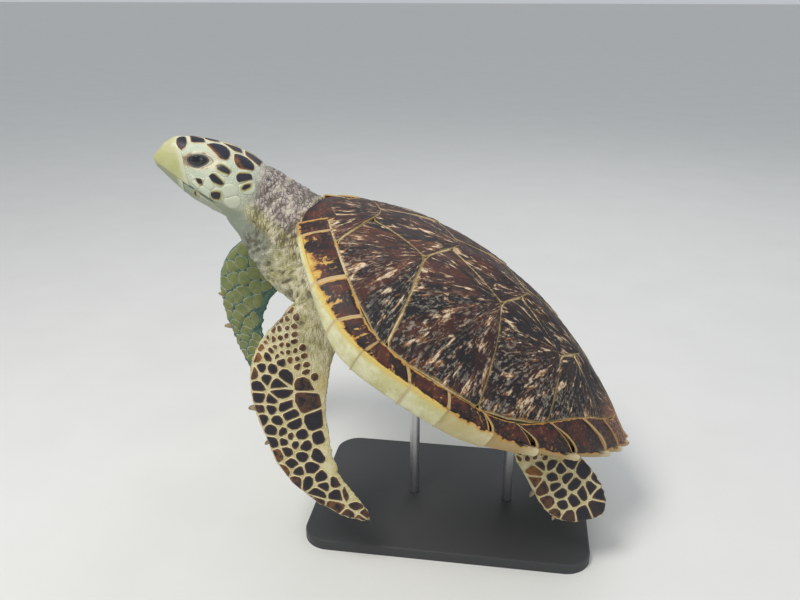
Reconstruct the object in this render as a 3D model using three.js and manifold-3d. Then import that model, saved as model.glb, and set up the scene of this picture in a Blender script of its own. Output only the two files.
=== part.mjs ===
// A life-size hawksbill sea turtle, as a still swimming model on a plain display stand.
// Millimetres, +Z up. The turtle is modelled level in its own frame, +X to the beak, +Y to its left,
// with the middle of the shell's rim plane at the origin, and is then tilted and set on the stand.
import * as THREE from "three";
import { mergeVertices } from "three/addons/utils/BufferGeometryUtils.js";
import Module from "manifold-3d";

const wasm = await Module();
wasm.setup();

// Driving dimensions
const SHELL_LENGTH = 600; // straight length of the carapace
const SHELL_WIDTH = 458;
const DOME_HEIGHT = 111; // keel above the rim
const BELLY_DEPTH = 72; // plastron below the rim
const GAP = 0.3; // between neighbouring pieces
const BODY_PITCH = 33.1; // degrees, head up
const BODY_ROLL = 1.6; // degrees, left side down
const BODY_HEIGHT = 311; // shell middle above the floor
const HEAD_LENGTH = 157; // back of the crown to the beak's tip

// ---------------------------------------------------------------- helpers

const V = (x, y, z) => new THREE.Vector3(x, y, z);
const clamp = THREE.MathUtils.clamp;
const rad = THREE.MathUtils.degToRad;

// Smooth values between named stations: rows of [place, value, value, ...].
function stations(rows) {
  const width = rows[0].length - 1;
  const curve = new THREE.CubicInterpolant(
    rows.map((row) => row[0]),
    rows.flatMap((row) => row.slice(1)),
    width,
  );
  return (at) => Array.from(curve.evaluate(clamp(at, rows[0][0], rows.at(-1)[0])));
}

// A closed skin: a sphere whose points are carried by place(along 0..1, angle 0..2 pi).
function skin(along, around, place) {
  const g = new THREE.SphereGeometry(1, around, along);
  const p = g.attributes.position;
  for (let ring = 0, i = 0; ring <= along; ring++)
    for (let k = 0; k <= around; k++, i++) {
      const pole = ring === 0 || ring === along;
      const at = place(ring / along, ((k % around) / around) * 2 * Math.PI);
      if (pole) at.copy(place(ring / along, 0).lerp(place(ring / along, Math.PI), 0.5));
      p.setXYZ(i, at.x, at.y, at.z);
    }
  return g;
}

// A geometry as a manifold-3d solid, turned to face outwards.
function solid(geometry) {
  const bare = geometry.clone();
  bare.deleteAttribute("normal");
  bare.deleteAttribute("uv");
  const merged = mergeVertices(bare, 1e-4);
  const triVerts = new Uint32Array(merged.index.array);
  const build = () =>
    new wasm.Manifold(
      new wasm.Mesh({
        numProp: 3,
        vertProperties: new Float32Array(merged.attributes.position.array),
        triVerts,
      }),
    );
  const made = build();
  if (made.volume() > 0) return made;
  for (let i = 0; i < triVerts.length; i += 3)
    [triVerts[i], triVerts[i + 1]] = [triVerts[i + 1], triVerts[i]];
  return build();
}

function geometryOf(made) {
  const mesh = made.getMesh();
  const g = new THREE.BufferGeometry();
  const points = new Float32Array(mesh.numVert * 3);
  for (let i = 0; i < mesh.numVert; i++)
    points.set(mesh.vertProperties.subarray(i * mesh.numProp, i * mesh.numProp + 3), i * 3);
  g.setAttribute("position", new THREE.BufferAttribute(points, 3));
  g.setIndex(new THREE.BufferAttribute(new Uint32Array(mesh.triVerts), 1));
  g.computeVertexNormals();
  return g;
}

// The biggest of the bodies that a cut leaves.
const biggest = (made) => made.decompose().sort((a, b) => b.volume() - a.volume())[0];

// The part of a solid on the side of a plane that normal points to.
function beyond(made, point, normal, gap = GAP / 2) {
  const n = normal.clone().normalize();
  return made.trimByPlane([n.x, n.y, n.z], n.dot(point) + gap);
}

// A superellipse section: half width across, different heights above and below its widest line.
function section(angle, half, above, below, square = 2.2) {
  const c = Math.cos(angle);
  const s = Math.sin(angle);
  const across = Math.sign(c) * Math.abs(c) ** (2 / square) * half;
  const up = Math.sign(s) * Math.abs(s) ** (2 / square);
  return [across, up > 0 ? up * above : up * below];
}

// Stations from one end to the other, packed closer where the ends round off.
const eased = (along) => (1 - Math.cos(Math.PI * along)) / 2;

// A rounded end: how far a section has opened at a place between two ends.
function opening(at, from, to, roundFrom, roundTo) {
  const a = clamp((at - from) / roundFrom, 0, 1);
  const b = clamp((to - at) / roundTo, 0, 1);
  return Math.sqrt(1 - (1 - a) ** 2) * Math.sqrt(1 - (1 - b) ** 2);
}

// ---------------------------------------------------------------- shell

const WIDEST = 0.42; // share of the length, from the front, where the shell is widest
const HIGHEST = 0.43;
const KEEL_RIDGE = 3;
const SHELL_WALL = 13;
const FLANGE = 0.84; // where the flat underside of the marginals starts
const RIM_THIN = 9; // depth of the rim's outer face at the front and rear
const RIM_DEEP = 31; // and along the bridge

// Half width of the shell at t, 0 at the nuchal and 1 at the tail.
function halfWidth(t) {
  const shape =
    t < WIDEST
      ? 0.25 + 0.75 * (1 - (1 - t / WIDEST) ** 2.6) ** 0.8
      : 0.035 + 0.965 * (1 - ((t - WIDEST) / (1 - WIDEST)) ** 2.3) ** 0.88;
  return (shape * SHELL_WIDTH) / 2;
}
function keelHeight(t) {
  const shape =
    t < HIGHEST
      ? 0.34 + 0.66 * (1 - (1 - t / HIGHEST) ** 2.2)
      : 1 - 0.96 * ((t - HIGHEST) / (1 - HIGHEST)) ** 2;
  return shape * DOME_HEIGHT;
}
function rimHeight(t) {
  const front = 0.3 * clamp(1 - t / 0.28, 0, 1) ** 1.6;
  const rear = 0.04 * THREE.MathUtils.smoothstep(t, 0.6, 1);
  return (front + rear) * DOME_HEIGHT;
}
function rimThickness(t) {
  const { smoothstep } = THREE.MathUtils;
  return RIM_THIN + (RIM_DEEP - RIM_THIN) * smoothstep(t, 0.08, 0.26) * (1 - smoothstep(t, 0.52, 0.78));
}
const lengthwise = (x) => clamp(0.5 - x / SHELL_LENGTH, 0, 1);

// Height of the dome's top over a point of the plan.
function domeHeight(x, y) {
  const t = lengthwise(x);
  const f = Math.min(1, Math.abs(y) / halfWidth(t));
  const swell = (1 - f ** 2.1) ** 0.74;
  const ridge = KEEL_RIDGE * Math.exp(-((y / 16) ** 2)) * Math.sin(Math.PI * t);
  return rimHeight(t) + (keelHeight(t) - rimHeight(t)) * swell + ridge * swell;
}

// The marginal scutes' rear corners stand out as teeth, more so towards the tail.
const MARGINALS = 12;
const TOOTH = 9;
const STEPS_PER_MARGINAL = 3;
function tooth(m) {
  const within = m % 1; // 0 at a marginal's front seam, 1 at its rear seam
  const growth = THREE.MathUtils.smoothstep(m, 5, 9);
  return TOOTH * growth * (within ** 1.5 - 0.45);
}

// A point of the shell's outline: m counts marginals from the nuchal, 0 to 12, on one side.
function outline(m, side) {
  const share = clamp(m / MARGINALS, 0, 1);
  const t = (1 - Math.cos(Math.PI * share ** 0.93)) / 2;
  const half = halfWidth(t);
  return V(SHELL_LENGTH * (0.5 - t), side * half, rimHeight(t));
}

// The whole rim as a closed loop of points, with the teeth on it.
const RIM = [];
for (const side of [1, -1]) {
  const count = MARGINALS * STEPS_PER_MARGINAL;
  const run = [];
  for (let i = 0; i <= count; i++) {
    const m = i / STEPS_PER_MARGINAL;
    const at = outline(m, side);
    const out = V(at.x + 40, at.y, 0).normalize();
    const last = i === count ? 0 : tooth(Math.min(m, MARGINALS - 1e-6) || 0);
    run.push(at.addScaledVector(out, i % STEPS_PER_MARGINAL === 0 && i > 0 && i < count
      ? tooth(m - 1e-6) : last));
  }
  if (side < 0) run.reverse();
  RIM.push(...(side < 0 ? run.slice(1, -1) : run));
}

const SHELL_MIDDLE = V(20, 0, 0);

// The dome's underside: a flat flange, then a hollow that keeps the wall's thickness.
function hollowHeight(x, y) {
  const dx = SHELL_MIDDLE.x + (x - SHELL_MIDDLE.x) / FLANGE;
  const t = lengthwise(dx);
  const f = Math.min(1, Math.abs(y / FLANGE) / halfWidth(t));
  const floor = rimHeight(t) - rimThickness(t);
  return floor + Math.max(0, keelHeight(t) - SHELL_WALL - floor) * (1 - f ** 2.1) ** 0.74;
}

const UNDER_RINGS = [0.978, 0.87, 0.5]; // shares of the way out to the rim
function carapace() {
  const topRings = 9;
  const rings = topRings + UNDER_RINGS.length + 1;
  const place = (along, angle) => {
    const ring = Math.round(along * rings);
    const at = RIM[Math.round((angle / (2 * Math.PI)) * RIM.length) % RIM.length];
    const top = ring <= topRings;
    const share = top ? Math.sin(((ring / topRings) * Math.PI) / 2) : UNDER_RINGS[ring - topRings - 1] ?? 0;
    const x = SHELL_MIDDLE.x + (at.x - SHELL_MIDDLE.x) * share;
    const y = at.y * share;
    if (share > 0.9999) return V(x, y, at.z);
    return V(x, y, top ? Math.max(domeHeight(x, y), at.z) : hollowHeight(x, y));
  };
  return skin(rings, RIM.length, place);
}

// ---------------------------------------------------------------- plastron

const PLASTRON_FRONT = 232;
const PLASTRON_REAR = -214;
const PLASTRON_WALL = 12;
// [x, half width, height of the edge above the belly]
const plastronAt = stations([
  [PLASTRON_REAR, 34, 26],
  [-180, 66, 15],
  [-120, 118, 10],
  [-70, 178, 48],
  [-20, 190, 66],
  [60, 190, 66],
  [110, 178, 50],
  [150, 138, 16],
  [200, 92, 12],
  [PLASTRON_FRONT, 52, 16],
]);

function plastron() {
  const place = (along, angle) => {
    const share = Math.sin(Math.PI * along);
    const under = along > 0.5 ? 1 : 0;
    const middle = (PLASTRON_FRONT + PLASTRON_REAR) / 2;
    const reach = (PLASTRON_FRONT - PLASTRON_REAR) / 2;
    const bend = Math.sign(Math.cos(angle)) * Math.abs(Math.cos(angle)) ** 0.9;
    const x = middle + reach * bend * share;
    const [half, lift] = plastronAt(middle + reach * bend);
    const y = Math.sign(Math.sin(angle)) * half * Math.min(1, Math.abs(Math.sin(angle)) * 2.4) * share;
    const f = clamp(share, 0, 1);
    const dish = lift * f ** 4 + 6 * (x / reach) ** 2;
    const wall = under ? 0 : PLASTRON_WALL * Math.sqrt(1 - f ** 8);
    return V(x, y, -BELLY_DEPTH + dish + wall);
  };
  return skin(8, 32, place);
}

// ---------------------------------------------------------------- flesh of the body

// Between the shell and the plastron, with the shoulders and hips that show at its ends.
// [x, half width, depth below the widest line, height of the widest line]
const trunkAt = stations([
  [-258, 40, 20, -16],
  [-215, 90, 34, -16],
  [-150, 128, 44, -14],
  [-60, 152, 47, -12],
  [60, 158, 47, -12],
  [140, 150, 50, -14],
  [200, 138, 62, -18],
  [240, 120, 78, -24],
  [268, 92, 78, -34],
]);
const TRUNK_REAR = -258;
const UNDER_DOME = 3; // clear of the shell's hollow
const TRUNK_FRONT = 268;
function trunkFlesh() {
  const place = (along, angle) => {
    const x = TRUNK_REAR + (TRUNK_FRONT - TRUNK_REAR) * eased(along);
    const [half, below, level] = trunkAt(x);
    const open = opening(x, TRUNK_REAR, TRUNK_FRONT, 26, 26);
    const y = Math.cos(angle) * half * open;
    const up = Math.sin(angle);
    if (up <= 0) return V(x, y, level + up * below * open);
    const roof = Math.max(hollowHeight(x, y) - UNDER_DOME, level + 2);
    return V(x, y, level + (roof - level) * Math.min(1, up * 1.8) * open);
  };
  return skin(12, 20, place);
}

// The neck, head and flippers are shaped about a level of their own, then turned together to hang from
// the shell.
const hung = new THREE.Matrix4()
  .makeRotationFromEuler(new THREE.Euler(rad(-12.47), rad(-0.31), rad(-2.86), "ZYX"))
  .setPosition(8.4, 0.6, 15.2);

// ---------------------------------------------------------------- head

const HEAD_PLACE = V(376, 5, -7.5); // middle of the back of the crown
const HEAD_YAW = 20; // to its left
const HEAD_PITCH = 5; // nose down from the body's own level
const HEAD_ROLL = 22;
const headFrame = new THREE.Matrix4()
  .makeRotationFromEuler(new THREE.Euler(rad(HEAD_ROLL), rad(HEAD_PITCH), rad(HEAD_YAW), "ZYX"))
  .setPosition(HEAD_PLACE)
  .premultiply(hung);

// [share of the length from the back, top, bottom, half width, height of the widest line]
const headAt = stations([
  [-0.2, 24, -58, 40, -14],
  [0, 31, -62, 43, -12],
  [0.15, 38, -62, 46, -8],
  [0.35, 41, -58, 46, -4],
  [0.5, 39, -54, 42, -2],
  [0.62, 36.5, -48, 35, -1],
  [0.75, 32, -39, 26, -2],
  [0.88, 23, -29, 17, -4],
  [0.95, 8, -24, 11, -9],
  [1, -10, -20, 5, -15],
]);
const MOUTH_CORNER = 0.35; // share of the head's length
const MOUTH_FRONT_Z = -18;
const MOUTH_CORNER_Z = -38;
const EYE_SHARE = 0.6;
const EYE_RADIUS = 15.5;
const EYE_OUT = 21; // eyeball's middle from the head's middle
const EYE_UP = 10;

function headFlesh() {
  const place = (along, angle) => {
    const s = -0.2 + 1.2 * along;
    const [top, bottom, half, level] = headAt(s);
    const open = opening(s, -0.2, 1, 0.03, 0.05);
    const [y, z] = section(angle, half, top - level, level - bottom, 2.15);
    return V(s * HEAD_LENGTH, y * open, level + z * open);
  };
  return skin(20, 22, place);
}

// ---------------------------------------------------------------- neck

// [x, y, z of the middle, half width, height above, depth below]
const neckAt = stations([
  [0, 200, 0, -50, 100, 56, 78],
  [0.35, 285, 0, -52, 80, 70, 80],
  [0.6, 335, 2, -44, 62, 64, 70],
  [0.8, 372, 5, -32, 50, 54, 60],
  [1, 420, 20, -20, 38, 40, 46],
]);
function neckFlesh() {
  const place = (along, angle) => {
    const [x, y, z, half, above, below] = neckAt(along);
    const open = opening(along, 0, 1, 0.06, 0.06);
    const [across, up] = section(angle, half, above, below, 2.1);
    return V(x, y + across * open, z + up * open);
  };
  return skin(8, 20, place);
}

// ---------------------------------------------------------------- flippers

// A flipper lies about a plane: its own axes are forward, down-and-out, and the normal of its upper face.
// Each station: [share, leading edge forward, down, trailing edge forward, down, thickness, lift]
function flipper(frame, stationsOf, along = 14, around = 16) {
  const at = stations(stationsOf);
  const place = (share, angle) => {
    const [lf, ld, tf, td, thick, lift] = at(share);
    const open = opening(share, 0, 1, 0.05, 0.1);
    const across = 0.5 - 0.5 * Math.cos(angle); // 0 at the leading edge
    const swell = Math.sin(angle) * (thick / 2) * (1.25 - 0.75 * across);
    const from = 0.5 + (across - 0.5) * open;
    return V(lf + (tf - lf) * from, ld + (td - ld) * from, lift + swell * open);
  };
  return skin(along, around, place).applyMatrix4(frame);
}

// The frame of a flipper whose plane hangs at an angle out from straight down.
function hangingFrame(x, y, z, out) {
  const side = Math.sign(y);
  const a = rad(out);
  const down = V(0, side * Math.sin(a), -Math.cos(a));
  const normal = V(1, 0, 0).cross(down).multiplyScalar(side);
  return new THREE.Matrix4().makeBasis(V(1, 0, 0), down, normal).setPosition(x, y, z);
}

const leftFrontFrame = hangingFrame(215, 150, -50, 30).premultiply(hung);
const rightFrontFrame = hangingFrame(235, -110, -75, -20).premultiply(hung);
const leftRearFrame = hangingFrame(-215, 120, -40, 40).premultiply(hung);
const rightRearFrame = hangingFrame(-215, -120, -40, 48);

const leftFrontStations = [
  [0, 0, -62, -70, -42, 52, -30],
  [0.12, 14, -10, -74, 8, 46, -12],
  [0.24, 20, 40, -90, 48, 36, 0],
  [0.34, 20, 78, -106, 74, 29, 2],
  [0.44, 4, 112, -118, 92, 24, 3],
  [0.54, -24, 143, -138, 112, 20, 3],
  [0.64, -62, 170, -158, 134, 16, 1],
  [0.74, -108, 200, -190, 156, 13, -3],
  [0.84, -168, 211, -224, 168, 10, -8],
  [0.93, -224, 209, -250, 176, 8, -13],
  [1, -262, 201, -270, 188, 5, -18],
];
const rightFrontStations = [
  [0, 20, -40, -50, -20, 52, -20],
  [0.12, 78, 24, -30, 40, 44, -8],
  [0.22, 122, 72, 8, 96, 36, 0],
  [0.32, 147, 116, 36, 136, 29, 0],
  [0.42, 151, 154, 44, 172, 24, 0],
  [0.52, 144, 188, 38, 204, 20, 0],
  [0.62, 118, 224, 22, 232, 16, 0],
  [0.72, 84, 254, 2, 256, 13, 0],
  [0.82, 42, 284, -20, 280, 10, 0],
  [0.92, -4, 312, -34, 304, 8, 0],
  [1, -34, 332, -42, 324, 5, 0],
];
const rearStations = [
  [0, 74, -34, 30, -74, 40, -22],
  [0.2, 66, 8, 2, -54, 30, -6],
  [0.4, 32, 28, -20, -44, 21, 0],
  [0.6, -2, 46, -48, -38, 15, 1],
  [0.8, -44, 56, -76, -26, 10, 0],
  [0.93, -78, 38, -96, -8, 7, -2],
  [1, -100, 20, -104, 4, 4, -3],
];

// ---------------------------------------------------------------- claws and tail

// A small curved horn claw, from a root point along a direction.
function claw(frame, root, aim, length, radius) {
  const dir = V(...aim).normalize();
  const bend = V(-0.5, 0.25, 0);
  const path = new THREE.QuadraticBezierCurve3(
    V(...root).addScaledVector(dir, -0.35 * length),
    V(...root).addScaledVector(dir, 0.45 * length),
    V(...root).addScaledVector(dir, 0.85 * length).addScaledVector(bend, 0.4 * length),
  );
  const side = V(0, 0, 1);
  const place = (along, angle) => {
    const at = path.getPoint(along);
    const tangent = path.getTangent(along);
    const up = tangent.clone().cross(side).normalize();
    const size = radius * Math.sqrt(Math.max(0, 1 - along ** 1.6)) * Math.min(1, along * 6 + 0.02);
    return at
      .addScaledVector(up, Math.cos(angle) * size)
      .addScaledVector(side, Math.sin(angle) * size * 0.7);
  };
  return solid(skin(5, 8, place).applyMatrix4(frame));
}

const TAIL_LENGTH = 95;
function tailFlesh() {
  const place = (along, angle) => {
    const x = -205 - TAIL_LENGTH * along;
    const size = Math.sqrt(Math.max(0, 1 - along ** 2.2)) * Math.min(1, along * 8 + 0.02);
    const [y, z] = section(angle, 19 * size, 15 * size, 15 * size, 2);
    return V(x, y, -40 + 8 * along * along + z);
  };
  return skin(6, 12, place);
}

// ---------------------------------------------------------------- parting the flesh

// A geometry's skin moved outwards by a little, for the room that a neighbour leaves around it.
function grown(geometry, amount = GAP) {
  const bare = geometry.clone();
  bare.deleteAttribute("normal");
  bare.deleteAttribute("uv");
  const merged = mergeVertices(bare, 1e-4);
  merged.computeVertexNormals();
  const p = merged.attributes.position;
  const n = merged.attributes.normal;
  const outwards = solid(geometry).volume() > 0 && facesOut(merged) ? 1 : -1;
  for (let i = 0; i < p.count; i++) {
    const at = V(n.getX(i), n.getY(i), n.getZ(i)).multiplyScalar(amount * 1.15 * outwards);
    p.setXYZ(i, p.getX(i) + at.x, p.getY(i) + at.y, p.getZ(i) + at.z);
  }
  return solid(merged).add(solid(geometry));
}

// Whether a closed indexed geometry winds outwards, from its signed volume.
function facesOut(geometry) {
  const p = geometry.attributes.position;
  const index = geometry.index;
  let volume = 0;
  for (let i = 0; i < index.count; i += 3) {
    const [a, b, c] = [0, 1, 2].map((k) => new THREE.Vector3().fromBufferAttribute(p, index.getX(i + k)));
    volume += a.dot(b.cross(c));
  }
  return volume > 0;
}

const moved = (made, matrix) => solid(geometryOf(made).applyMatrix4(matrix));

// A box of a given middle and size, turned about Y.
function box(middle, size, turnY = 0) {
  const g = new THREE.BoxGeometry(...size);
  g.rotateY(turnY);
  g.translate(middle.x, middle.y, middle.z);
  return solid(g);
}

const shellRoom = grown(carapace());
const bellyRoom = grown(plastron());
const pieces = {};
pieces.carapace = solid(carapace());
pieces.plastron = solid(plastron()).subtract(shellRoom);

// A limb is the part of its flesh beyond a plane across its root.
function limb(geometry, point, normal) {
  return {
    own: beyond(solid(geometry), point, normal),
    room: beyond(grown(geometry), point, normal, -GAP / 2),
  };
}
const inFrame = (frame, f, d, n = 0) => V(f, d, n).applyMatrix4(frame);
const alongFrame = (frame, f, d, n = 0) => V(f, d, n).transformDirection(frame);

const flesh = {
  trunk: trunkFlesh(),
  neck: neckFlesh().applyMatrix4(hung),
  head: headFlesh().applyMatrix4(headFrame),
  front_flipper_left: flipper(leftFrontFrame, leftFrontStations),
  front_flipper_right: flipper(rightFrontFrame, rightFrontStations),
  rear_flipper_left: flipper(leftRearFrame, rearStations, 10, 14),
  rear_flipper_right: flipper(rightRearFrame, rearStations, 10, 14),
  tail: tailFlesh(),
};

const roots = {
  front_flipper_left: [leftFrontFrame, [-28, 14], [-0.1, 1]],
  front_flipper_right: [rightFrontFrame, [16, 8], [0.9, 0.43]],
  rear_flipper_left: [leftRearFrame, [46, -28], [-0.5, 0.85]],
  rear_flipper_right: [rightRearFrame, [46, -28], [-0.5, 0.85]],
};
const limbs = {};
for (const [name, [frame, at, way]] of Object.entries(roots))
  limbs[name] = limb(flesh[name], inFrame(frame, ...at), alongFrame(frame, ...way));
limbs.tail = limb(flesh.tail, V(-224, 0, -38), V(-1, 0, 0));
limbs.head = limb(flesh.head, V(0, 0, 0).applyMatrix4(headFrame), V(1, 0, 0).transformDirection(headFrame));

let rest = Object.values(flesh).map(solid).reduce((all, made) => all.add(made));
for (const { room } of Object.values(limbs)) rest = rest.subtract(room);
rest = rest.subtract(shellRoom).subtract(bellyRoom);
const NECK_ROOT = V(262, 0, 0);
pieces.trunk = biggest(beyond(rest, NECK_ROOT, V(-1, 0, 0)));
pieces.neck = biggest(beyond(rest, NECK_ROOT, V(1, 0, 0)));
for (const name of [...Object.keys(roots), "tail"])
  pieces[name] = biggest(limbs[name].own.subtract(shellRoom).subtract(bellyRoom));

// The front flippers are parted again at the wrist, into arm and blade.
const wrists = {
  front_flipper_left: [leftFrontFrame, [-64, 118], [-0.35, 0.94]],
  front_flipper_right: [rightFrontFrame, [96, 172], [-0.1, 1]],
};
for (const [name, [frame, at, way]] of Object.entries(wrists)) {
  const point = inFrame(frame, ...at);
  const normal = alongFrame(frame, ...way);
  const side = name.split("_").at(-1);
  pieces[`front_arm_${side}`] = biggest(beyond(pieces[name], point, normal.clone().negate()));
  pieces[`front_blade_${side}`] = biggest(beyond(pieces[name], point, normal));
  delete pieces[name];
}

// ---------------------------------------------------------------- the head's own parts, in its frame

const toHead = headFrame.clone().invert();
const MOUTH_SLOPE = Math.atan2(MOUTH_FRONT_Z - MOUTH_CORNER_Z, HEAD_LENGTH * (0.97 - MOUTH_CORNER));
const UPPER_BEAK = [V(0.83 * HEAD_LENGTH, 0, 28), V(50, 0, -20)];
const LOWER_BEAK = [V(0.72 * HEAD_LENGTH, 0, -25), V(1, 0, -0.2)];
{
  const whole = moved(limbs.head.own, toHead);
  const mouth = (grow) => {
    const size = [120 + 2 * grow, 120, 60 + 2 * grow];
    const g = new THREE.BoxGeometry(...size);
    g.translate(60, 0, -30);
    g.rotateY(-MOUTH_SLOPE);
    g.translate(MOUTH_CORNER * HEAD_LENGTH, 0, MOUTH_CORNER_Z);
    return solid(g);
  };
  const upper = whole.subtract(mouth(GAP));
  const jaw = whole.intersect(mouth(0));
  let skull = biggest(beyond(upper, UPPER_BEAK[0], UPPER_BEAK[1].clone().negate()));
  const beakTop = biggest(beyond(upper, ...UPPER_BEAK));
  const beakBelow = biggest(beyond(jaw, ...LOWER_BEAK));
  const jawFlesh = biggest(beyond(jaw, LOWER_BEAK[0], LOWER_BEAK[1].clone().negate()));
  for (const side of [1, -1]) {
    const eyeball = (grow) => {
      const g = new THREE.SphereGeometry(EYE_RADIUS + grow, 14, 8);
      g.rotateX(Math.PI / 2);
      g.translate(EYE_SHARE * HEAD_LENGTH, side * EYE_OUT, EYE_UP);
      return solid(g);
    };
    skull = skull.subtract(eyeball(GAP));
    pieces[side > 0 ? "eye_left" : "eye_right"] = moved(eyeball(0), headFrame);
  }
  pieces.head = moved(biggest(skull), headFrame);
  pieces.lower_jaw = moved(jawFlesh, headFrame);
  pieces.upper_beak = moved(beakTop, headFrame);
  pieces.lower_beak = moved(beakBelow, headFrame);
}

// ---------------------------------------------------------------- claws

// Each: the node it grows from, frame, root, aim, length, thickest radius
const clawsOf = {
  claw_front_left: ["front_blade_left", leftFrontFrame, [-32, 140, 1], [0.9, 0.45, 0], 22, 5.5],
  claw_front_left_2: ["front_blade_left", leftFrontFrame, [-74, 168, 0], [0.6, 0.8, 0], 17, 4.5],
  claw_front_right: ["front_blade_right", rightFrontFrame, [76, 254, 0], [0.9, 0.5, 0], 22, 5.5],
  claw_front_right_2: ["front_blade_right", rightFrontFrame, [118, 214, 0], [0.95, 0.3, 0], 17, 4.5],
  claw_rear_left: ["rear_flipper_left", leftRearFrame, [4, 34, 0], [0.35, 0.9, 0], 18, 4.5],
  claw_rear_left_2: ["rear_flipper_left", leftRearFrame, [-38, 44, 0], [0, 1, 0], 16, 4],
  claw_rear_right: ["rear_flipper_right", rightRearFrame, [4, 34, 0], [0.35, 0.9, 0], 18, 4.5],
  claw_rear_right_2: ["rear_flipper_right", rightRearFrame, [-38, 44, 0], [0, 1, 0], 16, 4],
};
for (const [name, [from, frame, root, aim, length, radius]] of Object.entries(clawsOf)) {
  const horn = claw(frame, root, aim, length, radius);
  pieces[name] = horn;
  pieces[from] = biggest(pieces[from].subtract(grown(geometryOf(horn))));
}

// ---------------------------------------------------------------- stand

const BASE = [440, 300, 16]; // length, width, thickness
const BASE_CORNER = 40;
const BASE_BEVEL = 3;
const ROD_RADIUS = 8;
const ROD_PLACES = { stand_rod_front: 62, stand_rod_rear: -92 };

const bodyMatrix = new THREE.Matrix4()
  .makeRotationFromEuler(new THREE.Euler(rad(-BODY_ROLL), rad(-BODY_PITCH), 0, "ZYX"))
  .setPosition(-15, 0, BODY_HEIGHT);
for (const name of Object.keys(pieces)) pieces[name] = moved(pieces[name], bodyMatrix);

function roundedPlate([length, width, thickness], corner, bevel) {
  const [a, b] = [length / 2 - bevel, width / 2 - bevel];
  const r = corner - bevel;
  const shape = new THREE.Shape();
  shape.absarc(a - r, b - r, r, 0, Math.PI / 2);
  shape.absarc(-a + r, b - r, r, Math.PI / 2, Math.PI);
  shape.absarc(-a + r, -b + r, r, Math.PI, 1.5 * Math.PI);
  shape.absarc(a - r, -b + r, r, 1.5 * Math.PI, 2 * Math.PI);
  const g = new THREE.ExtrudeGeometry(shape, {
    depth: thickness - bevel,
    bevelThickness: bevel,
    bevelSize: bevel,
    bevelSegments: 2,
    curveSegments: 6,
  });
  // the bevel stays on the upper edge only
  return solid(g.translate(0, 0, 0)).trimByPlane([0, 0, 1], 0);
}
pieces.stand_base = roundedPlate(BASE, BASE_CORNER, BASE_BEVEL);

const plateRoom = moved(bellyRoom, bodyMatrix);
for (const [name, x] of Object.entries(ROD_PLACES)) {
  const top = BODY_HEIGHT + (x + 15) * Math.tan(rad(BODY_PITCH)) - BELLY_DEPTH / Math.cos(rad(BODY_PITCH)) + 2;
  const from = BASE[2] + GAP;
  const g = new THREE.CylinderGeometry(ROD_RADIUS, ROD_RADIUS, top - from, 24);
  g.rotateX(Math.PI / 2);
  g.translate(x, 0, (top + from) / 2);
  pieces[name] = biggest(solid(g).subtract(plateRoom));
}

// ---------------------------------------------------------------- meshes

const finishes = {
  carapace: ["#3a2a1c", 0.35],
  plastron: ["#d9c98a", 0.45],
  trunk: ["#b9b39a", 0.6],
  neck: ["#b4ae98", 0.6],
  head: ["#6d6a58", 0.5],
  lower_jaw: ["#c9cdb0", 0.5],
  upper_beak: ["#b5b079", 0.4],
  lower_beak: ["#aaa870", 0.4],
  eye_left: ["#15130f", 0.08],
  eye_right: ["#15130f", 0.08],
  front_arm_left: ["#55503f", 0.5],
  front_arm_right: ["#8d9070", 0.5],
  front_blade_left: ["#2f2a20", 0.5],
  front_blade_right: ["#7d8160", 0.5],
  rear_flipper_left: ["#3a3222", 0.5],
  rear_flipper_right: ["#3a3222", 0.5],
  tail: ["#a8a184", 0.55],
  stand_base: ["#2b2c2e", 0.45],
  stand_rod_front: ["#9b9da0", 0.35, 0.9],
  stand_rod_rear: ["#9b9da0", 0.35, 0.9],
};
const turtle = new THREE.Group();
turtle.name = "hawksbill_turtle";
for (const [name, made] of Object.entries(pieces)) {
  const [color, roughness, metalness = 0] = finishes[name] ?? ["#d8d2bc", 0.4];
  const material = new THREE.MeshStandardMaterial({ color, roughness, metalness });
  material.name = name;
  const mesh = new THREE.Mesh(geometryOf(made), material);
  mesh.name = name;
  turtle.add(mesh);
}

export default turtle;
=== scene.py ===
import math

import bmesh
import bpy
from mathutils import Euler, Matrix, Vector, noise
from mathutils.bvhtree import BVHTree


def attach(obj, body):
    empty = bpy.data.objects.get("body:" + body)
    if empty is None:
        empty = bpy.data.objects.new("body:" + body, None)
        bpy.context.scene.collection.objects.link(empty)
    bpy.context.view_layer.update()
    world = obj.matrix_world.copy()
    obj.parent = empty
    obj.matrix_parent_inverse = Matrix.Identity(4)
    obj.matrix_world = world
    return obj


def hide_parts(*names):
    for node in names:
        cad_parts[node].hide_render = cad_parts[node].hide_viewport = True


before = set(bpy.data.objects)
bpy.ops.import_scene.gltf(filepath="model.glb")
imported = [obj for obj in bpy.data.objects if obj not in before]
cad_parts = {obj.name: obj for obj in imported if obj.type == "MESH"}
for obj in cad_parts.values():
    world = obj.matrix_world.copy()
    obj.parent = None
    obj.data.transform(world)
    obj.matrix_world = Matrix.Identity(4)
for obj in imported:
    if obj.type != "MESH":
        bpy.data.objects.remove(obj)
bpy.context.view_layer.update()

# The turtle is shaped level in its own frame, in millimetres: +X to the beak, +Y to its left, the
# shell's rim plane at height 0. This sets it in place on its stand.
PLACE = (
    Matrix.Translation((-0.015, 0, 0.311))
    @ Euler((math.radians(-1.6), math.radians(-33.1), 0)).to_matrix().to_4x4()
    @ Matrix.Scale(0.001, 4)
)
UNPLACE = PLACE.inverted()

# ---------------------------------------------------------------- shader sums


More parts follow.
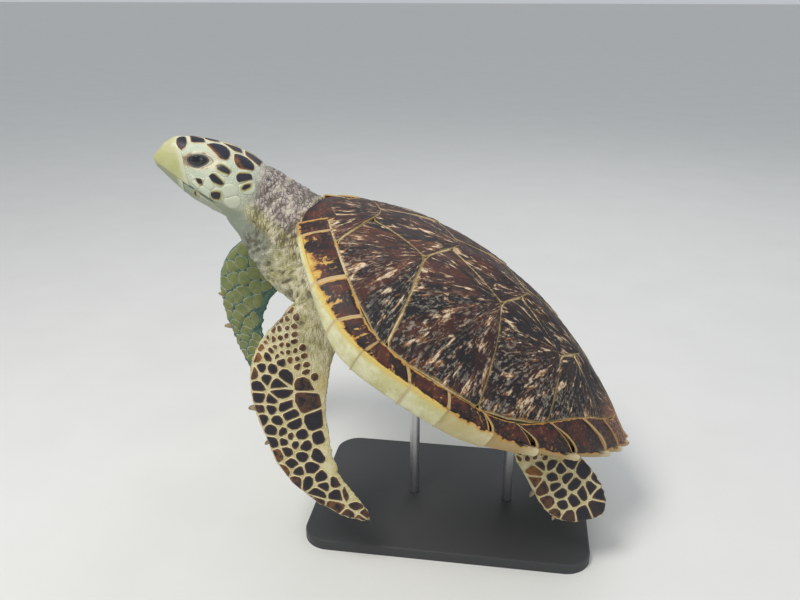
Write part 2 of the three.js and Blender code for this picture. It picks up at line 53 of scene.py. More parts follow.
class Value:
    """A socket's value that can be added, multiplied and compared."""

    def __init__(self, finish, socket):
        self.finish = finish
        self.socket = socket

    def math(self, operation, *values):
        return self.finish.node("ShaderNodeMath", {"operation": operation}, dict(enumerate(values)))

    def __add__(self, other):
        return self.math("ADD", self, other)

    def __sub__(self, other):
        return self.math("SUBTRACT", self, other)

    def __rsub__(self, other):
        return self.math("SUBTRACT", other, self)

    def __mul__(self, other):
        return self.math("MULTIPLY", self, other)

    def __truediv__(self, other):
        return self.math("DIVIDE", self, other)

    def __pow__(self, other):
        return self.math("POWER", self, other)

    __radd__ = __add__
    __rmul__ = __mul__

    def wave(self):
        return self.math("SINE", self)

    def most(self, other):
        return self.math("MAXIMUM", self, other)

    def least(self, other):
        return self.math("MINIMUM", self, other)

    def rise(self, low, high):
        """0 below low, 1 above high, smooth between; falls where high is the smaller."""
        flip = low > high
        ends = (high, low) if flip else (low, high)
        up = self.finish.node(
            "ShaderNodeMapRange",
            {"interpolation_type": "SMOOTHSTEP"},
            {"Value": self, "From Min": ends[0], "From Max": ends[1]},
        )
        return 1 - up if flip else up


class Finish:
    """A material: fixed values go straight on the shader's own sockets."""

    def __init__(self, name, **fixed):
        self.material = bpy.data.materials.new(name)
        self.material.use_nodes = True
        self.tree = self.material.node_tree
        self.tree.nodes.clear()
        self.shader = self.tree.nodes.new("ShaderNodeBsdfPrincipled")
        output = self.tree.nodes.new("ShaderNodeOutputMaterial")
        self.tree.links.new(self.shader.outputs[0], output.inputs[0])
        for key, value in fixed.items():
            self.shader.inputs[key.replace("_", " ")].default_value = value

    def node(self, kind, settings=None, inputs=None, output=0):
        made = self.tree.nodes.new(kind)
        for key, value in (settings or {}).items():
            setattr(made, key, value)
        for key, value in (inputs or {}).items():
            self.feed(made.inputs[key], value)
        return Value(self, made.outputs[output])

    def feed(self, socket, value):
        if isinstance(value, Value):
            self.tree.links.new(value.socket, socket)
        elif isinstance(value, tuple) and len(value) == 3 and socket.type == "RGBA":
            socket.default_value = (*value, 1)
        else:
            socket.default_value = value

    def set(self, **values):
        for key, value in values.items():
            self.feed(self.shader.inputs[key.replace("_", " ")], value)

    def place(self):
        return self.node("ShaderNodeTexCoord", output="Object")

    def mark(self, name, output="Fac"):
        return self.node("ShaderNodeAttribute", {"attribute_name": name}, output=output)

    def stretch(self, vector, scale, turn=(0, 0, 0)):
        return self.node("ShaderNodeMapping", inputs={"Vector": vector, "Scale": scale, "Rotation": turn})

    def cloud(self, vector, scale, detail=3.0, rough=0.55, bend=0.0):
        values = {"Vector": vector, "Scale": scale, "Detail": detail, "Roughness": rough, "Distortion": bend}
        return self.node("ShaderNodeTexNoise", inputs=values, output="Fac")

    def cells(self, vector, scale, feature="DISTANCE_TO_EDGE", jitter=1.0, output="Distance"):
        values = {"Vector": vector, "Scale": scale, "Randomness": jitter}
        return self.node("ShaderNodeTexVoronoi", {"feature": feature}, values, output)

    def mix(self, share, first, second, blend="MIX"):
        settings = {"data_type": "RGBA", "blend_type": blend}
        return self.node("ShaderNodeMix", settings, {0: share, 6: first, 7: second}, output=2)

    def bump(self, height, distance, strength=1.0):
        values = {"Height": height, "Distance": distance, "Strength": strength}
        self.set(Normal=self.node("ShaderNodeBump", inputs=values, output="Normal"))


# ---------------------------------------------------------------- measures of the shell

LENGTH = 600.0
WIDTH = 458.0
DOME = 111.0
WIDEST = 0.42
HIGHEST = 0.43


def smooth(value, low, high):
    share = min(1.0, max(0.0, (value - low) / (high - low)))
    return share * share * (3 - 2 * share)


def half_width(t):
    if t < WIDEST:
        shape = 0.25 + 0.75 * max(0.0, 1 - (1 - t / WIDEST) ** 2.6) ** 0.8
    else:
        shape = 0.035 + 0.965 * max(0.0, 1 - ((t - WIDEST) / (1 - WIDEST)) ** 2.3) ** 0.88
    return shape * WIDTH / 2


def keel_height(t):
    if t < HIGHEST:
        return DOME * (0.34 + 0.66 * (1 - (1 - t / HIGHEST) ** 2.2))
    return DOME * (1 - 0.96 * ((t - HIGHEST) / (1 - HIGHEST)) ** 2)


def rim_height(t):
    return DOME * (0.3 * max(0.0, 1 - t / 0.28) ** 1.6 + 0.04 * smooth(t, 0.6, 1))


def rim_depth(t):
    return 9 + 22 * smooth(t, 0.08, 0.26) * (1 - smooth(t, 0.52, 0.78))


def dome_point(x, y):
    t = min(1.0, max(0.0, 0.5 - x / LENGTH))
    across = min(1.0, abs(y) / half_width(t))
    swell = (1 - across**2.1) ** 0.74
    ridge = 3 * math.exp(-((y / 16) ** 2)) * math.sin(math.pi * t)
    return Vector((x, y, rim_height(t) + (keel_height(t) - rim_height(t)) * swell + ridge * swell))


def dome_normal(x, y):
    step = 1.5
    side = 1 if y < 0 else -1
    back = 1 if x < 0 else -1
    here = dome_point(x, y)
    along = (dome_point(x + back * step, y) - here) * back
    across = (dome_point(x, y + side * step) - here) * side
    return along.cross(across).normalized()


def tooth(m):
    return 9 * smooth(m, 5, 9) * ((m % 1) ** 1.5 - 0.45)


def marginal_count(t):
    """How many marginals lie ahead of a place along the shell."""
    return 12 * (math.acos(1 - 2 * min(1.0, max(0.0, t))) / math.pi) ** (1 / 0.93)


def rim_point(t, side, out=0.0):
    x = LENGTH * (0.5 - t)
    y = side * half_width(t)
    way = Vector((x + 40, y, 0)).normalized()
    return Vector((x, y, rim_height(t))) + way * out


# ---------------------------------------------------------------- making pieces


def closed(bm, flip=True):
    bmesh.ops.remove_doubles(bm, verts=bm.verts, dist=1e-5)
    if flip:
        bmesh.ops.recalc_face_normals(bm, faces=bm.faces)
    return bm


def piece(name, bm, finish, replaces=()):
    """Sets a shaped mesh in place as one finished piece of the turtle."""
    bm.transform(PLACE)
    mesh = bpy.data.meshes.new(name)
    bm.to_mesh(mesh)
    bm.free()
    mesh.shade_smooth()
    made = bpy.data.objects.new(name, mesh)
    bpy.context.scene.collection.objects.link(made)
    mesh.materials.append(finish.material)
    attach(made, "root")
    if replaces:
        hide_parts(*replaces)
    return made


def solid_of(name):
    """A solid's own mesh, joined up, in the turtle's frame."""
    bm = bmesh.new()
    bm.from_mesh(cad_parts[name].data)
    bmesh.ops.remove_doubles(bm, verts=bm.verts, dist=2e-6)
    bm.transform(UNPLACE)
    bmesh.ops.recalc_face_normals(bm, faces=bm.faces)
    return bm


def remeshed(parts, voxel, swell=0.0, shape=None):
    """Solids joined into one even skin."""
    mesh = bpy.data.meshes.new("rough")
    whole = bmesh.new()
    for name in parts:
        bm = solid_of(name)
        bm.normal_update()
        moves = [(v, v.normal.copy()) for v in bm.verts]
        for v, normal in moves:
            v.co += normal * swell
        if shape:
            shape(name, bm)
        bm.to_mesh(mesh)
        bm.free()
        whole.from_mesh(mesh)
    whole.to_mesh(mesh)
    whole.free()
    rough = bpy.data.objects.new("rough", mesh)
    bpy.context.scene.collection.objects.link(rough)
    even = rough.modifiers.new("even", "REMESH")
    even.mode = "VOXEL"
    even.voxel_size = voxel
    made = bmesh.new()
    made.from_object(rough, bpy.context.evaluated_depsgraph_get())
    bpy.data.objects.remove(rough)
    bpy.data.meshes.remove(mesh)
    return made


def relax(bm, times, share=0.5):
    for _ in range(times):
        bmesh.ops.smooth_vert(
            bm, verts=bm.verts, factor=share, use_axis_x=True, use_axis_y=True, use_axis_z=True
        )


def between(rows, at):
    """Smooth values between rows of (place, value, ...)."""
    at = min(rows[-1][0], max(rows[0][0], at))
    i = 0
    while i < len(rows) - 2 and rows[i + 1][0] < at:
        i += 1
    first, last = rows[i], rows[i + 1]
    before = rows[max(0, i - 1)]
    after = rows[min(len(rows) - 1, i + 2)]
    span = last[0] - first[0]
    u = (at - first[0]) / span
    values = []
    for k in range(1, len(first)):
        lean = (last[k] - before[k]) / (last[0] - before[0]) * span
        fall = (after[k] - first[k]) / (after[0] - first[0]) * span
        a = 2 * first[k] - 2 * last[k] + lean + fall
        b = -3 * first[k] + 3 * last[k] - 2 * lean - fall
        values.append(((a * u + b) * u + lean) * u + first[k])
    return values


# ---------------------------------------------------------------- plates: scutes and scales


def line(a, b, inside):
    """The cut along a to b: a point and the way out, away from a point inside."""
    along = (b - a).normalized()
    out = Vector((along.y, -along.x))
    if (inside - a).dot(out) > 0:
        out = -out
    return a, out


def round_off(corners, cut):
    """Further cuts that take the points off a plate's corners."""
    middle = sum(corners, Vector((0, 0))) / len(corners)
    cuts = []
    for i, corner in enumerate(corners):
        ahead = (corners[(i + 1) % len(corners)] - corner).normalized()
        behind = (corners[i - 1] - corner).normalized()
        inward = ahead + behind
        if inward.length < 0.2 or (middle - corner).dot(inward) < 0:
            continue
        inward.normalize()
        cuts.append((corner + inward * cut, -inward))
    return cuts


def plate(cuts, low, high, spacing, gap=0.0):
    """A flat sheet between two corners, cut back to its outline. Returns the sheet, or None when nothing is left."""
    bm = bmesh.new()
    size = high - low
    steps = [max(1, math.ceil(side / spacing)) for side in size]
    bmesh.ops.create_grid(bm, x_segments=steps[0], y_segments=steps[1], size=0.5)
    scale = Matrix.Diagonal((size.x, size.y, 1, 1))
    shift = Matrix.Translation(((low.x + high.x) / 2, (low.y + high.y) / 2, 0))
    bm.transform(shift @ scale)
    for point, out in cuts:
        bmesh.ops.bisect_plane(
            bm,
            geom=bm.verts[:] + bm.edges[:] + bm.faces[:],
            plane_co=(*(point - out * gap), 0),
            plane_no=(*out, 0),
            clear_outer=True,
        )
        if not bm.faces:
            return None
    bmesh.ops.remove_doubles(bm, verts=bm.verts, dist=0.12)
    return bm


def inset_of(cuts, at, gap=0.0):
    return min((point - out * gap - at).dot(out) for point, out in cuts)


def shape_plate(bm, cuts, gap, surface, height, thickness, marks):
    """Lays a cut sheet on a surface, gives it its thickness and keeps its marks."""
    layers = {name: bm.verts.layers.float.new(name) for name in marks}
    way = bm.verts.layers.float_vector.new("way")
    for v in bm.verts:
        flat = Vector((v.co.x, v.co.y))
        inset = max(0.0, inset_of(cuts, flat, gap))
        at, normal = surface(flat)
        for name, value in marks.items():
            v[layers[name]] = value(flat, inset) if callable(value) else value
        v.co = at + normal * height(flat, inset)
        v[way] = normal
    bmesh.ops.triangulate(bm, faces=[f for f in bm.faces if len(f.verts) > 4])
    under = bmesh.ops.extrude_face_region(bm, geom=bm.faces[:])["geom"]
    for v in under:
        if isinstance(v, bmesh.types.BMVert):
            v.co -= v[way] * thickness
    bm.verts.layers.float_vector.remove(way)
    bmesh.ops.recalc_face_normals(bm, faces=bm.faces)


class Coat:
    """Plates gathered into one piece."""

    def __init__(self):
        self.bm = bmesh.new()
        self.scratch = bpy.data.meshes.new("plates")

    def add(self, bm):
        bm.to_mesh(self.scratch)
        bm.free()
        self.bm.from_mesh(self.scratch)


# ---------------------------------------------------------------- camera and stage

camera = bpy.data.cameras.new("camera")
camera.lens = 36 * 778 / 800
camera.sensor_width = 36
view = bpy.data.objects.new("camera", camera)
RIGHT = Vector((-0.9888, -0.1491, 0))
DOWN = Vector((-0.0559, 0.3704, -0.9272))
AHEAD = Vector((0.1382, -0.9168, -0.3746))
view.matrix_world = Matrix.Translation(Vector((-0.0775, 1.0902, 0.8063))) @ Matrix(
    (RIGHT, -DOWN, -AHEAD)
).transposed().to_4x4()
bpy.context.scene.collection.objects.link(view)
bpy.context.scene.camera = view


def lamp(name, place, aim, size, power, colour=(1, 1, 1)):
    light = bpy.data.lights.new(name, "AREA")
    light.shape = "DISK"
    light.size = size
    light.energy = power
    light.color = colour
    made = bpy.data.objects.new(name, light)
    way = Vector(aim) - Vector(place)
    made.rotation_euler = way.to_track_quat("-Z", "Y").to_euler()
    made.location = place
    bpy.context.scene.collection.objects.link(made)


lamp("key", (0.9, 1.2, 2.6), (0.05, 0, 0.3), 1.0, 52, (1, 0.97, 0.92))
lamp("fill", (-2.0, 1.8, 1.3), (0, 0, 0.25), 2.0, 9, (0.9, 0.95, 1))
lamp("back", (-0.6, -1.8, 2.4), (0, 0, 0.3), 1.6, 14)
world = bpy.data.worlds.new("room")
world.use_nodes = True
world.node_tree.nodes["Background"].inputs["Color"].default_value = (0.86, 0.9, 0.95, 1)
world.node_tree.nodes["Background"].inputs["Strength"].default_value = 0.6
bpy.context.scene.world = world
bpy.context.scene.view_settings.view_transform = "Standard"

floor_finish = Finish("pale_floor", Roughness=0.75)
floor_mottle = floor_finish.cloud(floor_finish.place(), 6.0, 4.0)
floor_finish.set(Base_Color=floor_finish.mix(floor_mottle, (0.66, 0.66, 0.64), (0.72, 0.72, 0.70)))
floor_bm = bmesh.new()
bmesh.ops.create_grid(floor_bm, x_segments=1, y_segments=1, size=40)
floor_mesh = bpy.data.meshes.new("floor")
floor_bm.to_mesh(floor_mesh)
floor = bpy.data.objects.new("floor", floor_mesh)
floor_mesh.materials.append(floor_finish.material)
bpy.context.scene.collection.objects.link(floor)

# ---------------------------------------------------------------- the shell's scutes


def shell(t, across):
    return Vector((LENGTH * (0.5 - t), across * half_width(t)))


# Where the inner row of scutes meets the marginals, from the nuchal back, in plan.
INNER_LINE = (
    (-268, 52), (-253, 84), (-228, 124), (-200, 158), (-157, 197), (-123, 212), (-77, 220), (-14, 219),
    (40, 212), (89, 194), (134, 160), (175, 118), (222, 68), (250, 33), (262, 0),
)
SEAMS_OUT = (0.008, 0.03, 0.12, 0.2, 0.28, 0.405, 0.497, 0.61, 0.725, 0.835, 0.93, 0.972, 1)
SEAMS_IN = (0.053, 0.078, 0.167, 0.238, 0.295, 0.371, 0.477, 0.566, 0.648, 0.724, 0.81, 0.88, 0.937)


def inner_point(x):
    return Vector((x, between(INNER_LINE, -x)[0]))


KEEL_SEAMS = (0.032, 0.16, 0.366, 0.588, 0.766, 0.93)
NOTCHES = (None, (0.141, 0.15), (0.337, 0.1), (0.544, 0.1), (0.735, 0.15))
FLANKS = ((0.101, 0.587), (0.287, 0.352), (0.495, 0.329), (0.689, 0.345))
COSTAL_ENDS = (240, 114, -28, -128, -216)

vertebrals = []
for i in range(5):
    front, rear = shell(KEEL_SEAMS[i], 0), shell(KEEL_SEAMS[i + 1], 0)
    left = []
    if i == 0:
        left = [Vector((268, 52)), Vector((254, 82)), inner_point(240), shell(*NOTCHES[1])]
    elif i < 4:
        left = [shell(*NOTCHES[i]), shell(*FLANKS[i]), shell(*NOTCHES[i + 1])]
    else:
        left = [shell(*NOTCHES[4]), inner_point(-216), inner_point(-248)]
        rear = Vector((-262, 0))
    if i < 4:
        flank, notch = left[-2:]
        rear = Vector((notch.x - 0.9 * notch.y * (flank.x - notch.x) / (flank.y - notch.y), 0))
    right = [Vector((p.x, -p.y)) for p in reversed(left)]
    vertebrals.append([*([] if i else [front]), *left, rear, *right])

costals = []
for i in range(4):
    ends = COSTAL_ENDS[i : i + 2]
    outer = [inner_point(ends[0])]
    outer += [Vector((-x, y)) for x, y in INNER_LINE if ends[1] + 6 < -x < ends[0] - 6]
    outer += [inner_point(ends[1])]
    top = [shell(*FLANKS[i])] if i else []
    notch = shell(*NOTCHES[i + 1])
    far = [shell(*FLANKS[i + 1])] if i < 3 else []
    costals.append([*top, notch, *far, *reversed(outer)])


def hull_cuts(corners):
    """A plate's edges as cuts, each with its point and way out."""
    middle = sum(corners, Vector((0, 0))) / len(corners)
    return [line(a, b, middle) for a, b in zip(corners, corners[1:] + corners[:1]) if (b - a).length > 2]


def reach_of(cuts, at, ahead):
    return min(((p - at).dot(out) for p, out in cuts if out.x > ahead), default=99)


def bounds_of(corners, margin):
    low = Vector((min(c.x for c in corners) - margin, min(c.y for c in corners) - margin))
    high = Vector((max(c.x for c in corners) + margin, max(c.y for c in corners) + margin))
    return low, high


def ridged(bm, cuts, *depths):
    """Adds rows of points at set depths in from each edge."""
    for depth in depths:
        for point, out in cuts:
            bmesh.ops.bisect_plane(
                bm,
                geom=bm.verts[:] + bm.edges[:] + bm.faces[:],
                plane_co=(*(point - out * depth), 0),
                plane_no=(*out, 0),
            )
    bmesh.ops.remove_doubles(bm, verts=bm.verts, dist=0.15)


def dome_surface(flat):
    t = min(0.995, max(0.005, 0.5 - flat.x / LENGTH))
    widest = half_width(t) * 0.995
    y = max(-widest, min(widest, flat.y))
    x = LENGTH * (0.5 - t)
    return dome_point(x, y), dome_normal(x, y)


SCUTE_TUCK = 6.0
SCUTE_RISE = 2.0
GROWTH_WAVE = 0.3


def scute(coat, corners, origin, order, tuck_ahead=0.25, fray=0.0):
    """One imbricate scute: its front tucks under the one ahead, its rear edge stands over the next."""
    true_cuts = hull_cuts(corners)
    cuts = [(p + out * (SCUTE_TUCK if out.x > tuck_ahead else 0), out) for p, out in true_cuts]
    cuts += round_off(corners, 2.5)
    low, high = bounds_of(corners, SCUTE_TUCK)
    bm = plate(cuts, low, high, 3.4, 0.5)
    ridged(bm, cuts, 1.1, 2.2)
    span = max(c.x for c in corners) - min(c.x for c in corners)

    def height(flat, inset):
        ahead = reach_of(true_cuts, flat, tuck_ahead)
        rise = 1.0 + SCUTE_RISE * smooth(ahead, 0, span) if ahead > 0 else 1.0 + 0.45 * ahead
        rounded = 0.9 * (1 - min(1.0, inset / 2.2)) ** 2
        swell = GROWTH_WAVE * math.sin(inset * 0.42 + order + noise.noise(Vector((flat.x, flat.y, 0)) / 25)) * min(1, inset / 6)
        lumps = 0.7 * noise.noise(Vector((flat.x, flat.y, order * 50)) / 34)
        return rise - rounded + swell + lumps

    side = 1 if sum(c.y for c in corners) >= -1 else -1
    marks = {
        "edge": lambda flat, inset: max(0.0, min(inset_of(true_cuts, flat, 0.5), inset)) / 10,
        "ray": lambda flat, inset: math.atan2((flat.y - origin.y) * side, flat.x - origin.x),
        "reach": lambda flat, inset: (flat - origin).length / 100,
        "tone": order * 1.37 % 1,
        "low": lambda flat, inset: min(1.0, abs(flat.y) / half_width(min(0.99, max(0.01, 0.5 - flat.x / LENGTH)))),
        "rear": lambda flat, inset: 0.5 - flat.x / LENGTH,
    }
    shape_plate(bm, cuts, 0.5, dome_surface, height, 4.0, marks)
    coat.add(bm)


scutes = Coat()
for i, corners in enumerate(vertebrals):
    rear = min(c.x for c in corners)
    scute(scutes, corners, Vector((rear - 6, 0)), i + 1)
for i, corners in enumerate(costals):
    peak = shell(*FLANKS[i + 1]) if i < 3 else shell(*NOTCHES[4])
    for side in (1, -1):
        mirrored = [Vector((c.x, c.y * side)) for c in corners]
        scute(scutes, mirrored, Vector((peak.x - 8, (peak.y - 10) * side)), i + 6 + (side < 0) * 4)


# ---------------------------------------------------------------- marginals


def marginal_rows(q):
    k = min(11, int(q))
    share = q - k
    return (
        SEAMS_IN[k] + (SEAMS_IN[k + 1] - SEAMS_IN[k]) * share,
        SEAMS_OUT[k] + (SEAMS_OUT[k + 1] - SEAMS_OUT[k]) * share,
    )


def marginal_place(q, down, side, k):
    """A place on marginal k. down runs from 0 at its inner edge to 1 at the rim, 2 at the lower lip and 3
    where it turns in under the shell."""
    t_in, t_out = marginal_rows(min(12, max(0, q)))
    inner = inner_point(LENGTH * (0.5 - t_in))
    share = q - k
    push = 1.5 + 9 * smooth(k + 0.5, 5, 9) * (max(0.0, share) ** 1.5 - 0.45)
    rim = rim_point(t_out, 1, push)
    deep = rim_depth(t_out)
    if down <= 1:
        along = 1 - (1 - down) ** 1.5
        plan = inner + (Vector((rim.x, rim.y)) - inner) * along
        t = min(0.998, max(0.002, 0.5 - plan.x / LENGTH))
        top = dome_point(plan.x, min(abs(plan.y), half_width(t) * 0.9995)).z
        z = top * (1 - down**6) + rim.z * down**6
    else:
        plan = Vector((rim.x, rim.y))
        way = Vector((plan.x - 20, plan.y)).normalized()
        if down <= 2:
            turn = (down - 1) * math.pi
            plan += way * (1.5 * math.sin(turn) - 2.5 * (down - 1) ** 2)
            z = rim.z - deep * (down - 1)
        else:
            plan -= way * (2.5 + 26 * (down - 2))
            z = rim.z - deep - 1.5 * (down - 2)
    return Vector((plan.x, plan.y * side, z))


def marginal(coat, k, side):
    start, end = marginal_place(k, 1, side, k), marginal_place(k + 1, 1, side, k)
    length = max(14.0, (end - start).length)
    middle = marginal_place(k + 0.5, 0, side, k), marginal_place(k + 0.5, 1, side, k)
    top = max(8.0, (middle[1] - middle[0]).length)
    deep = rim_depth(marginal_rows(k + 0.5)[1])
    bottom = top + deep + 24
    lap = 4.0 if k else 0.0

    def down_of(y):
        if y < top:
            return y / top
        return 1 + (y - top) / deep if y < top + deep else 2 + (y - top - deep) / 24

    def surface(flat):
        q, down = k + flat.x / length, down_of(flat.y)
        here = marginal_place(q, down, side, k)
        step = 0.02
        along = marginal_place(q + step, down, side, k) - marginal_place(q - step, down, side, k)
        lower = marginal_place(q, max(0.001, down - step), side, k)
        upper = marginal_place(q, min(2.999, down + step), side, k)
        normal = along.cross(upper - lower) * side
        return here, normal.normalized()

    corners = [Vector((-lap, -2)), Vector((length, -2)), Vector((length, bottom)), Vector((-lap, bottom))]
    cuts = hull_cuts(corners) + round_off(corners, 1.6)
    bm = plate(cuts, corners[0], corners[2], 3.6, 0.35)
    ridged(bm, cuts, 1.0)
    for row in (top - 2.5, top, top + 2.5, top + deep):
        bmesh.ops.bisect_plane(
            bm, geom=bm.verts[:] + bm.edges[:] + bm.faces[:], plane_co=(0, row, 0), plane_no=(0, 1, 0)
        )
    bmesh.ops.remove_doubles(bm, verts=bm.verts, dist=0.15)

    def height(flat, inset):
        lift = 0.4 + 0.9 * max(0.0, flat.x / length) if flat.x > 0 else 0.4 + 0.3 * flat.x
        return lift - 0.7 * (1 - min(1.0, inset / 1.8)) ** 2

    marks = {
        "edge": lambda flat, inset: max(0.0, min(inset, flat.x)) / 10,
        "down": lambda flat, inset: down_of(flat.y) / 3,
        "along": lambda flat, inset: flat.x / length,
        "tone": (k * 0.37 + (side < 0) * 0.5) % 1,
        "rear": k / 12,
    }
    shape_plate(bm, cuts, 0.35, surface, height, 2.6, marks)
    coat.add(bm)


marginals = Coat()
for k in range(12):
    for side in (1, -1):
        marginal(marginals, k, side)


def nuchal_surface(flat):
    """The nuchal spans the front of the shell and turns over its rim."""
    width = 34.0
    share = max(-1.0, min(1.0, flat.x / width))
    down = flat.y
    y = 50 * share
    rim = rim_point(0.022, 1, 1.5)
    edge = Vector((rim.x + 13.5 * (1 - share**2), rim.y * share, rim.z))
    inner = Vector((279 - 21 * share**2, y, 0))
    inner.z = dome_point(inner.x, inner.y).z
    if down < 22:
        u = down / 22
        at = inner.lerp(edge, u)
        at.z += 3.0 * math.sin(math.pi * u)
    else:
        u = (down - 22) / 16
        at = edge + Vector((-9 * u * u, 0, -11 * math.sin(min(1.0, u) * math.pi / 2)))
    return at, (Vector((0.5, 0, 0.87)) if down < 20 else Vector((0.9, 0, 0.1))).normalized()


corners = [Vector((-34, -5)), Vector((34, -5)), Vector((34, 38)), Vector((-34, 38))]
cuts = hull_cuts(corners) + round_off(corners, 2.0)
bm = plate(cuts, corners[0], corners[2], 3.0, 0.4)
ridged(bm, cuts, 1.0)
shape_plate(
    bm, cuts, 0.4, nuchal_surface, lambda flat, inset: 1.4 - 0.7 * (1 - min(1.0, inset / 1.8)) ** 2, 3.0,
    {"edge": lambda flat, inset: inset / 10, "down": lambda flat, inset: max(0.0, flat.y) / 60,
     "along": 0.5, "tone": 0.1, "rear": 0.0},
)
marginals.add(bm)

# ---------------------------------------------------------------- finishes of the shell

CREAM = (0.66, 0.54, 0.37)
AMBER = (0.30, 0.13, 0.045)
MAROON = (0.055, 0.016, 0.011)
DARK = (0.010, 0.008, 0.010)


def shell_finish():
    f = Finish("tortoiseshell", Roughness=0.4, Coat_Roughness=0.25)
    place = f.place()
    edge, ray, reach = f.mark("edge"), f.mark("ray"), f.mark("reach")
    tone, low, rear = f.mark("tone"), f.mark("low"), f.mark("rear")
    rays = f.node("ShaderNodeCombineXYZ", None, {0: ray * 10, 1: reach * 3.2, 2: tone * 9})
    fine_rays = f.node("ShaderNodeCombineXYZ", None, {0: ray * 34, 1: reach * 9, 2: tone * 5})
    broad = f.cloud(rays, 0.32, 4, 0.6, 0.9)
    streaks = f.cloud(rays, 1.0, 5, 0.66, 0.7)
    threads = f.cloud(fine_rays, 1.0, 4, 0.62, 0.5)
    mottle = f.cloud(place, 26, 5, 0.62, 0.4)
    grains = f.cloud(place, 210, 4, 0.65)
    reds = broad.rise(0.40, 0.60) * (1 - rear.rise(0.30, 0.62) * 0.75)
    colour = f.mix(reds, DARK, MAROON)
    colour = f.mix(mottle.rise(0.50, 0.66) * reds * 0.7, colour, (0.12, 0.040, 0.018))
    patches = mottle.rise(0.38, 0.54)
    colour = f.mix(streaks.rise(0.53, 0.62) * patches * 0.8, colour, AMBER)
    colour = f.mix((streaks + (threads - 0.5) * 0.4).rise(0.575, 0.67) * (0.3 + patches * 0.7), colour, CREAM)
    scrape = low.rise(0.30, 0.72) * mottle.rise(0.36, 0.56)
    chalk = (threads + (grains - 0.5) * 0.6).rise(0.50, 0.62) * scrape * 0.42
    colour = f.mix(chalk, colour, (0.46, 0.41, 0.32))
    tail_end = rear.rise(0.84, 0.93) * (grains + mottle * 0.4).rise(0.52, 0.78)
    colour = f.mix(tail_end * 0.8, colour, (0.34, 0.14, 0.06))
    wide_seam = (edge - (mottle - 0.34) * 0.9).rise(0.12, -0.10)
    colour = f.mix(wide_seam * 0.8, colour, (0.24, 0.16, 0.045))
    seam = (edge - (threads - 0.5) * 0.25).rise(0.13, 0.04)
    colour = f.mix(seam * 0.85, colour, f.mix(mottle.rise(0.4, 0.6), (0.34, 0.24, 0.08), (0.58, 0.46, 0.28)))
    f.set(Base_Color=colour, Roughness=0.42 + 0.3 * mottle + chalk * 0.3)
    f.shader.inputs["Specular IOR Level"].default_value = 0.32
    rings = (edge * 11 + mottle * 9).wave()
    f.bump(rings * 0.12 + threads * 0.6 + grains * 0.5 + streaks * 0.5, 0.0008, 0.85)
    return f


def marginal_finish():
    f = Finish("marginal_horn", Roughness=0.42, Coat_Roughness=0.3)
    place = f.place()
    edge, down, along, rear = f.mark("edge"), f.mark("down"), f.mark("along"), f.mark("rear")
    tone = f.mark("tone")
    mottle = f.cloud(place, 34, 5, 0.6, 0.6)
    grains = f.cloud(place, 230, 4, 0.62)
    fingers = f.cloud(f.node("ShaderNodeCombineXYZ", None, {0: along * 6, 1: down * 5, 2: tone * 9}), 1.0, 4, 0.6, 0.4)
    front = rear.rise(0.62, 0.40) * rear.rise(0.02, 0.08)
    outer = down + (mottle - 0.5) * 0.22 + (fingers - 0.5) * 0.30 + front * 0.085
    ragged = edge + (fingers - 0.5) * 0.9 + (mottle - 0.5) * 0.6
    patch = outer.rise(0.345, 0.315) * ragged.rise(0.10, 0.24)
    pale = f.mix(mottle.rise(0.35, 0.65), (0.50, 0.47, 0.22), (0.64, 0.62, 0.40))
    pale = f.mix(down.rise(0.42, 0.34) * front, pale, (0.58, 0.44, 0.12))
    pale = f.mix(grains.rise(0.5, 0.68) * 0.3, pale, (0.38, 0.33, 0.18))
    rim_tint = f.mix(front, (0.40, 0.27, 0.11), pale)
    halo = outer.rise(0.40, 0.335) * 0.85
    colour = f.mix(halo, rim_tint, (0.46, 0.21, 0.03))
    inner = f.mix(mottle.rise(0.45, 0.62), (0.016, 0.009, 0.010), (0.075, 0.020, 0.013))
    inner = f.mix(grains.rise(0.52, 0.66) * fingers.rise(0.4, 0.55) * 0.55, inner, (0.26, 0.12, 0.05))
    inner = f.mix((fingers + (grains - 0.5) * 0.4).rise(0.60, 0.68) * front, inner, (0.50, 0.30, 0.08))
    colour = f.mix(patch, colour, inner)
    colour = f.mix((edge - (mottle - 0.5) * 0.2).rise(0.07, 0.02) * 0.75, colour, (0.52, 0.41, 0.22))
    teeth = rear.rise(0.5, 0.6) * along.rise(0.62, 0.95) * down.rise(0.22, 0.31) * 0.85
    colour = f.mix(teeth, colour, (0.62, 0.54, 0.33))
    colour = f.mix(rear.rise(0.80, 0.92) * grains.rise(0.40, 0.6) * 0.75, colour, (0.36, 0.16, 0.08))
    f.set(Base_Color=colour, Roughness=0.42 + 0.3 * mottle)
    f.shader.inputs["Specular IOR Level"].default_value = 0.35
    f.bump(mottle + grains * 0.6, 0.0008, 0.75)
    return f


piece("carapace_scutes", scutes.bm, shell_finish())
piece("marginal_scutes", marginals.bm, marginal_finish())

bed = solid_of("carapace")
bed.normal_update()
moves = []
for v in bed.verts:
    t = min(0.999, max(0.001, 0.5 - v.co.x / LENGTH))
    share = Vector(((v.co.x - 20) / 290, v.co.y / 222)).length
    way = Vector((v.co.x - 20, v.co.y, 0))
    inward = 9 * smooth(abs(v.co.y) / half_width(t) if abs(v.co.x) < 270 else 1, 0.86, 0.97)
    moves.append((v, v.co - v.normal * 2.4 - (way.normalized() * inward if way.length else way)))
for v, co in moves:
    v.co = co
bed_finish = Finish("shell_bed", Roughness=0.6)
bed_cloud = bed_finish.cloud(bed_finish.place(), 60, 4)
bed_finish.set(Base_Color=bed_finish.mix(bed_cloud, (0.20, 0.14, 0.05), (0.40, 0.31, 0.15)))
bed_finish.bump(bed_cloud, 0.0006)
piece("carapace_bed", bed, bed_finish, ["carapace"])

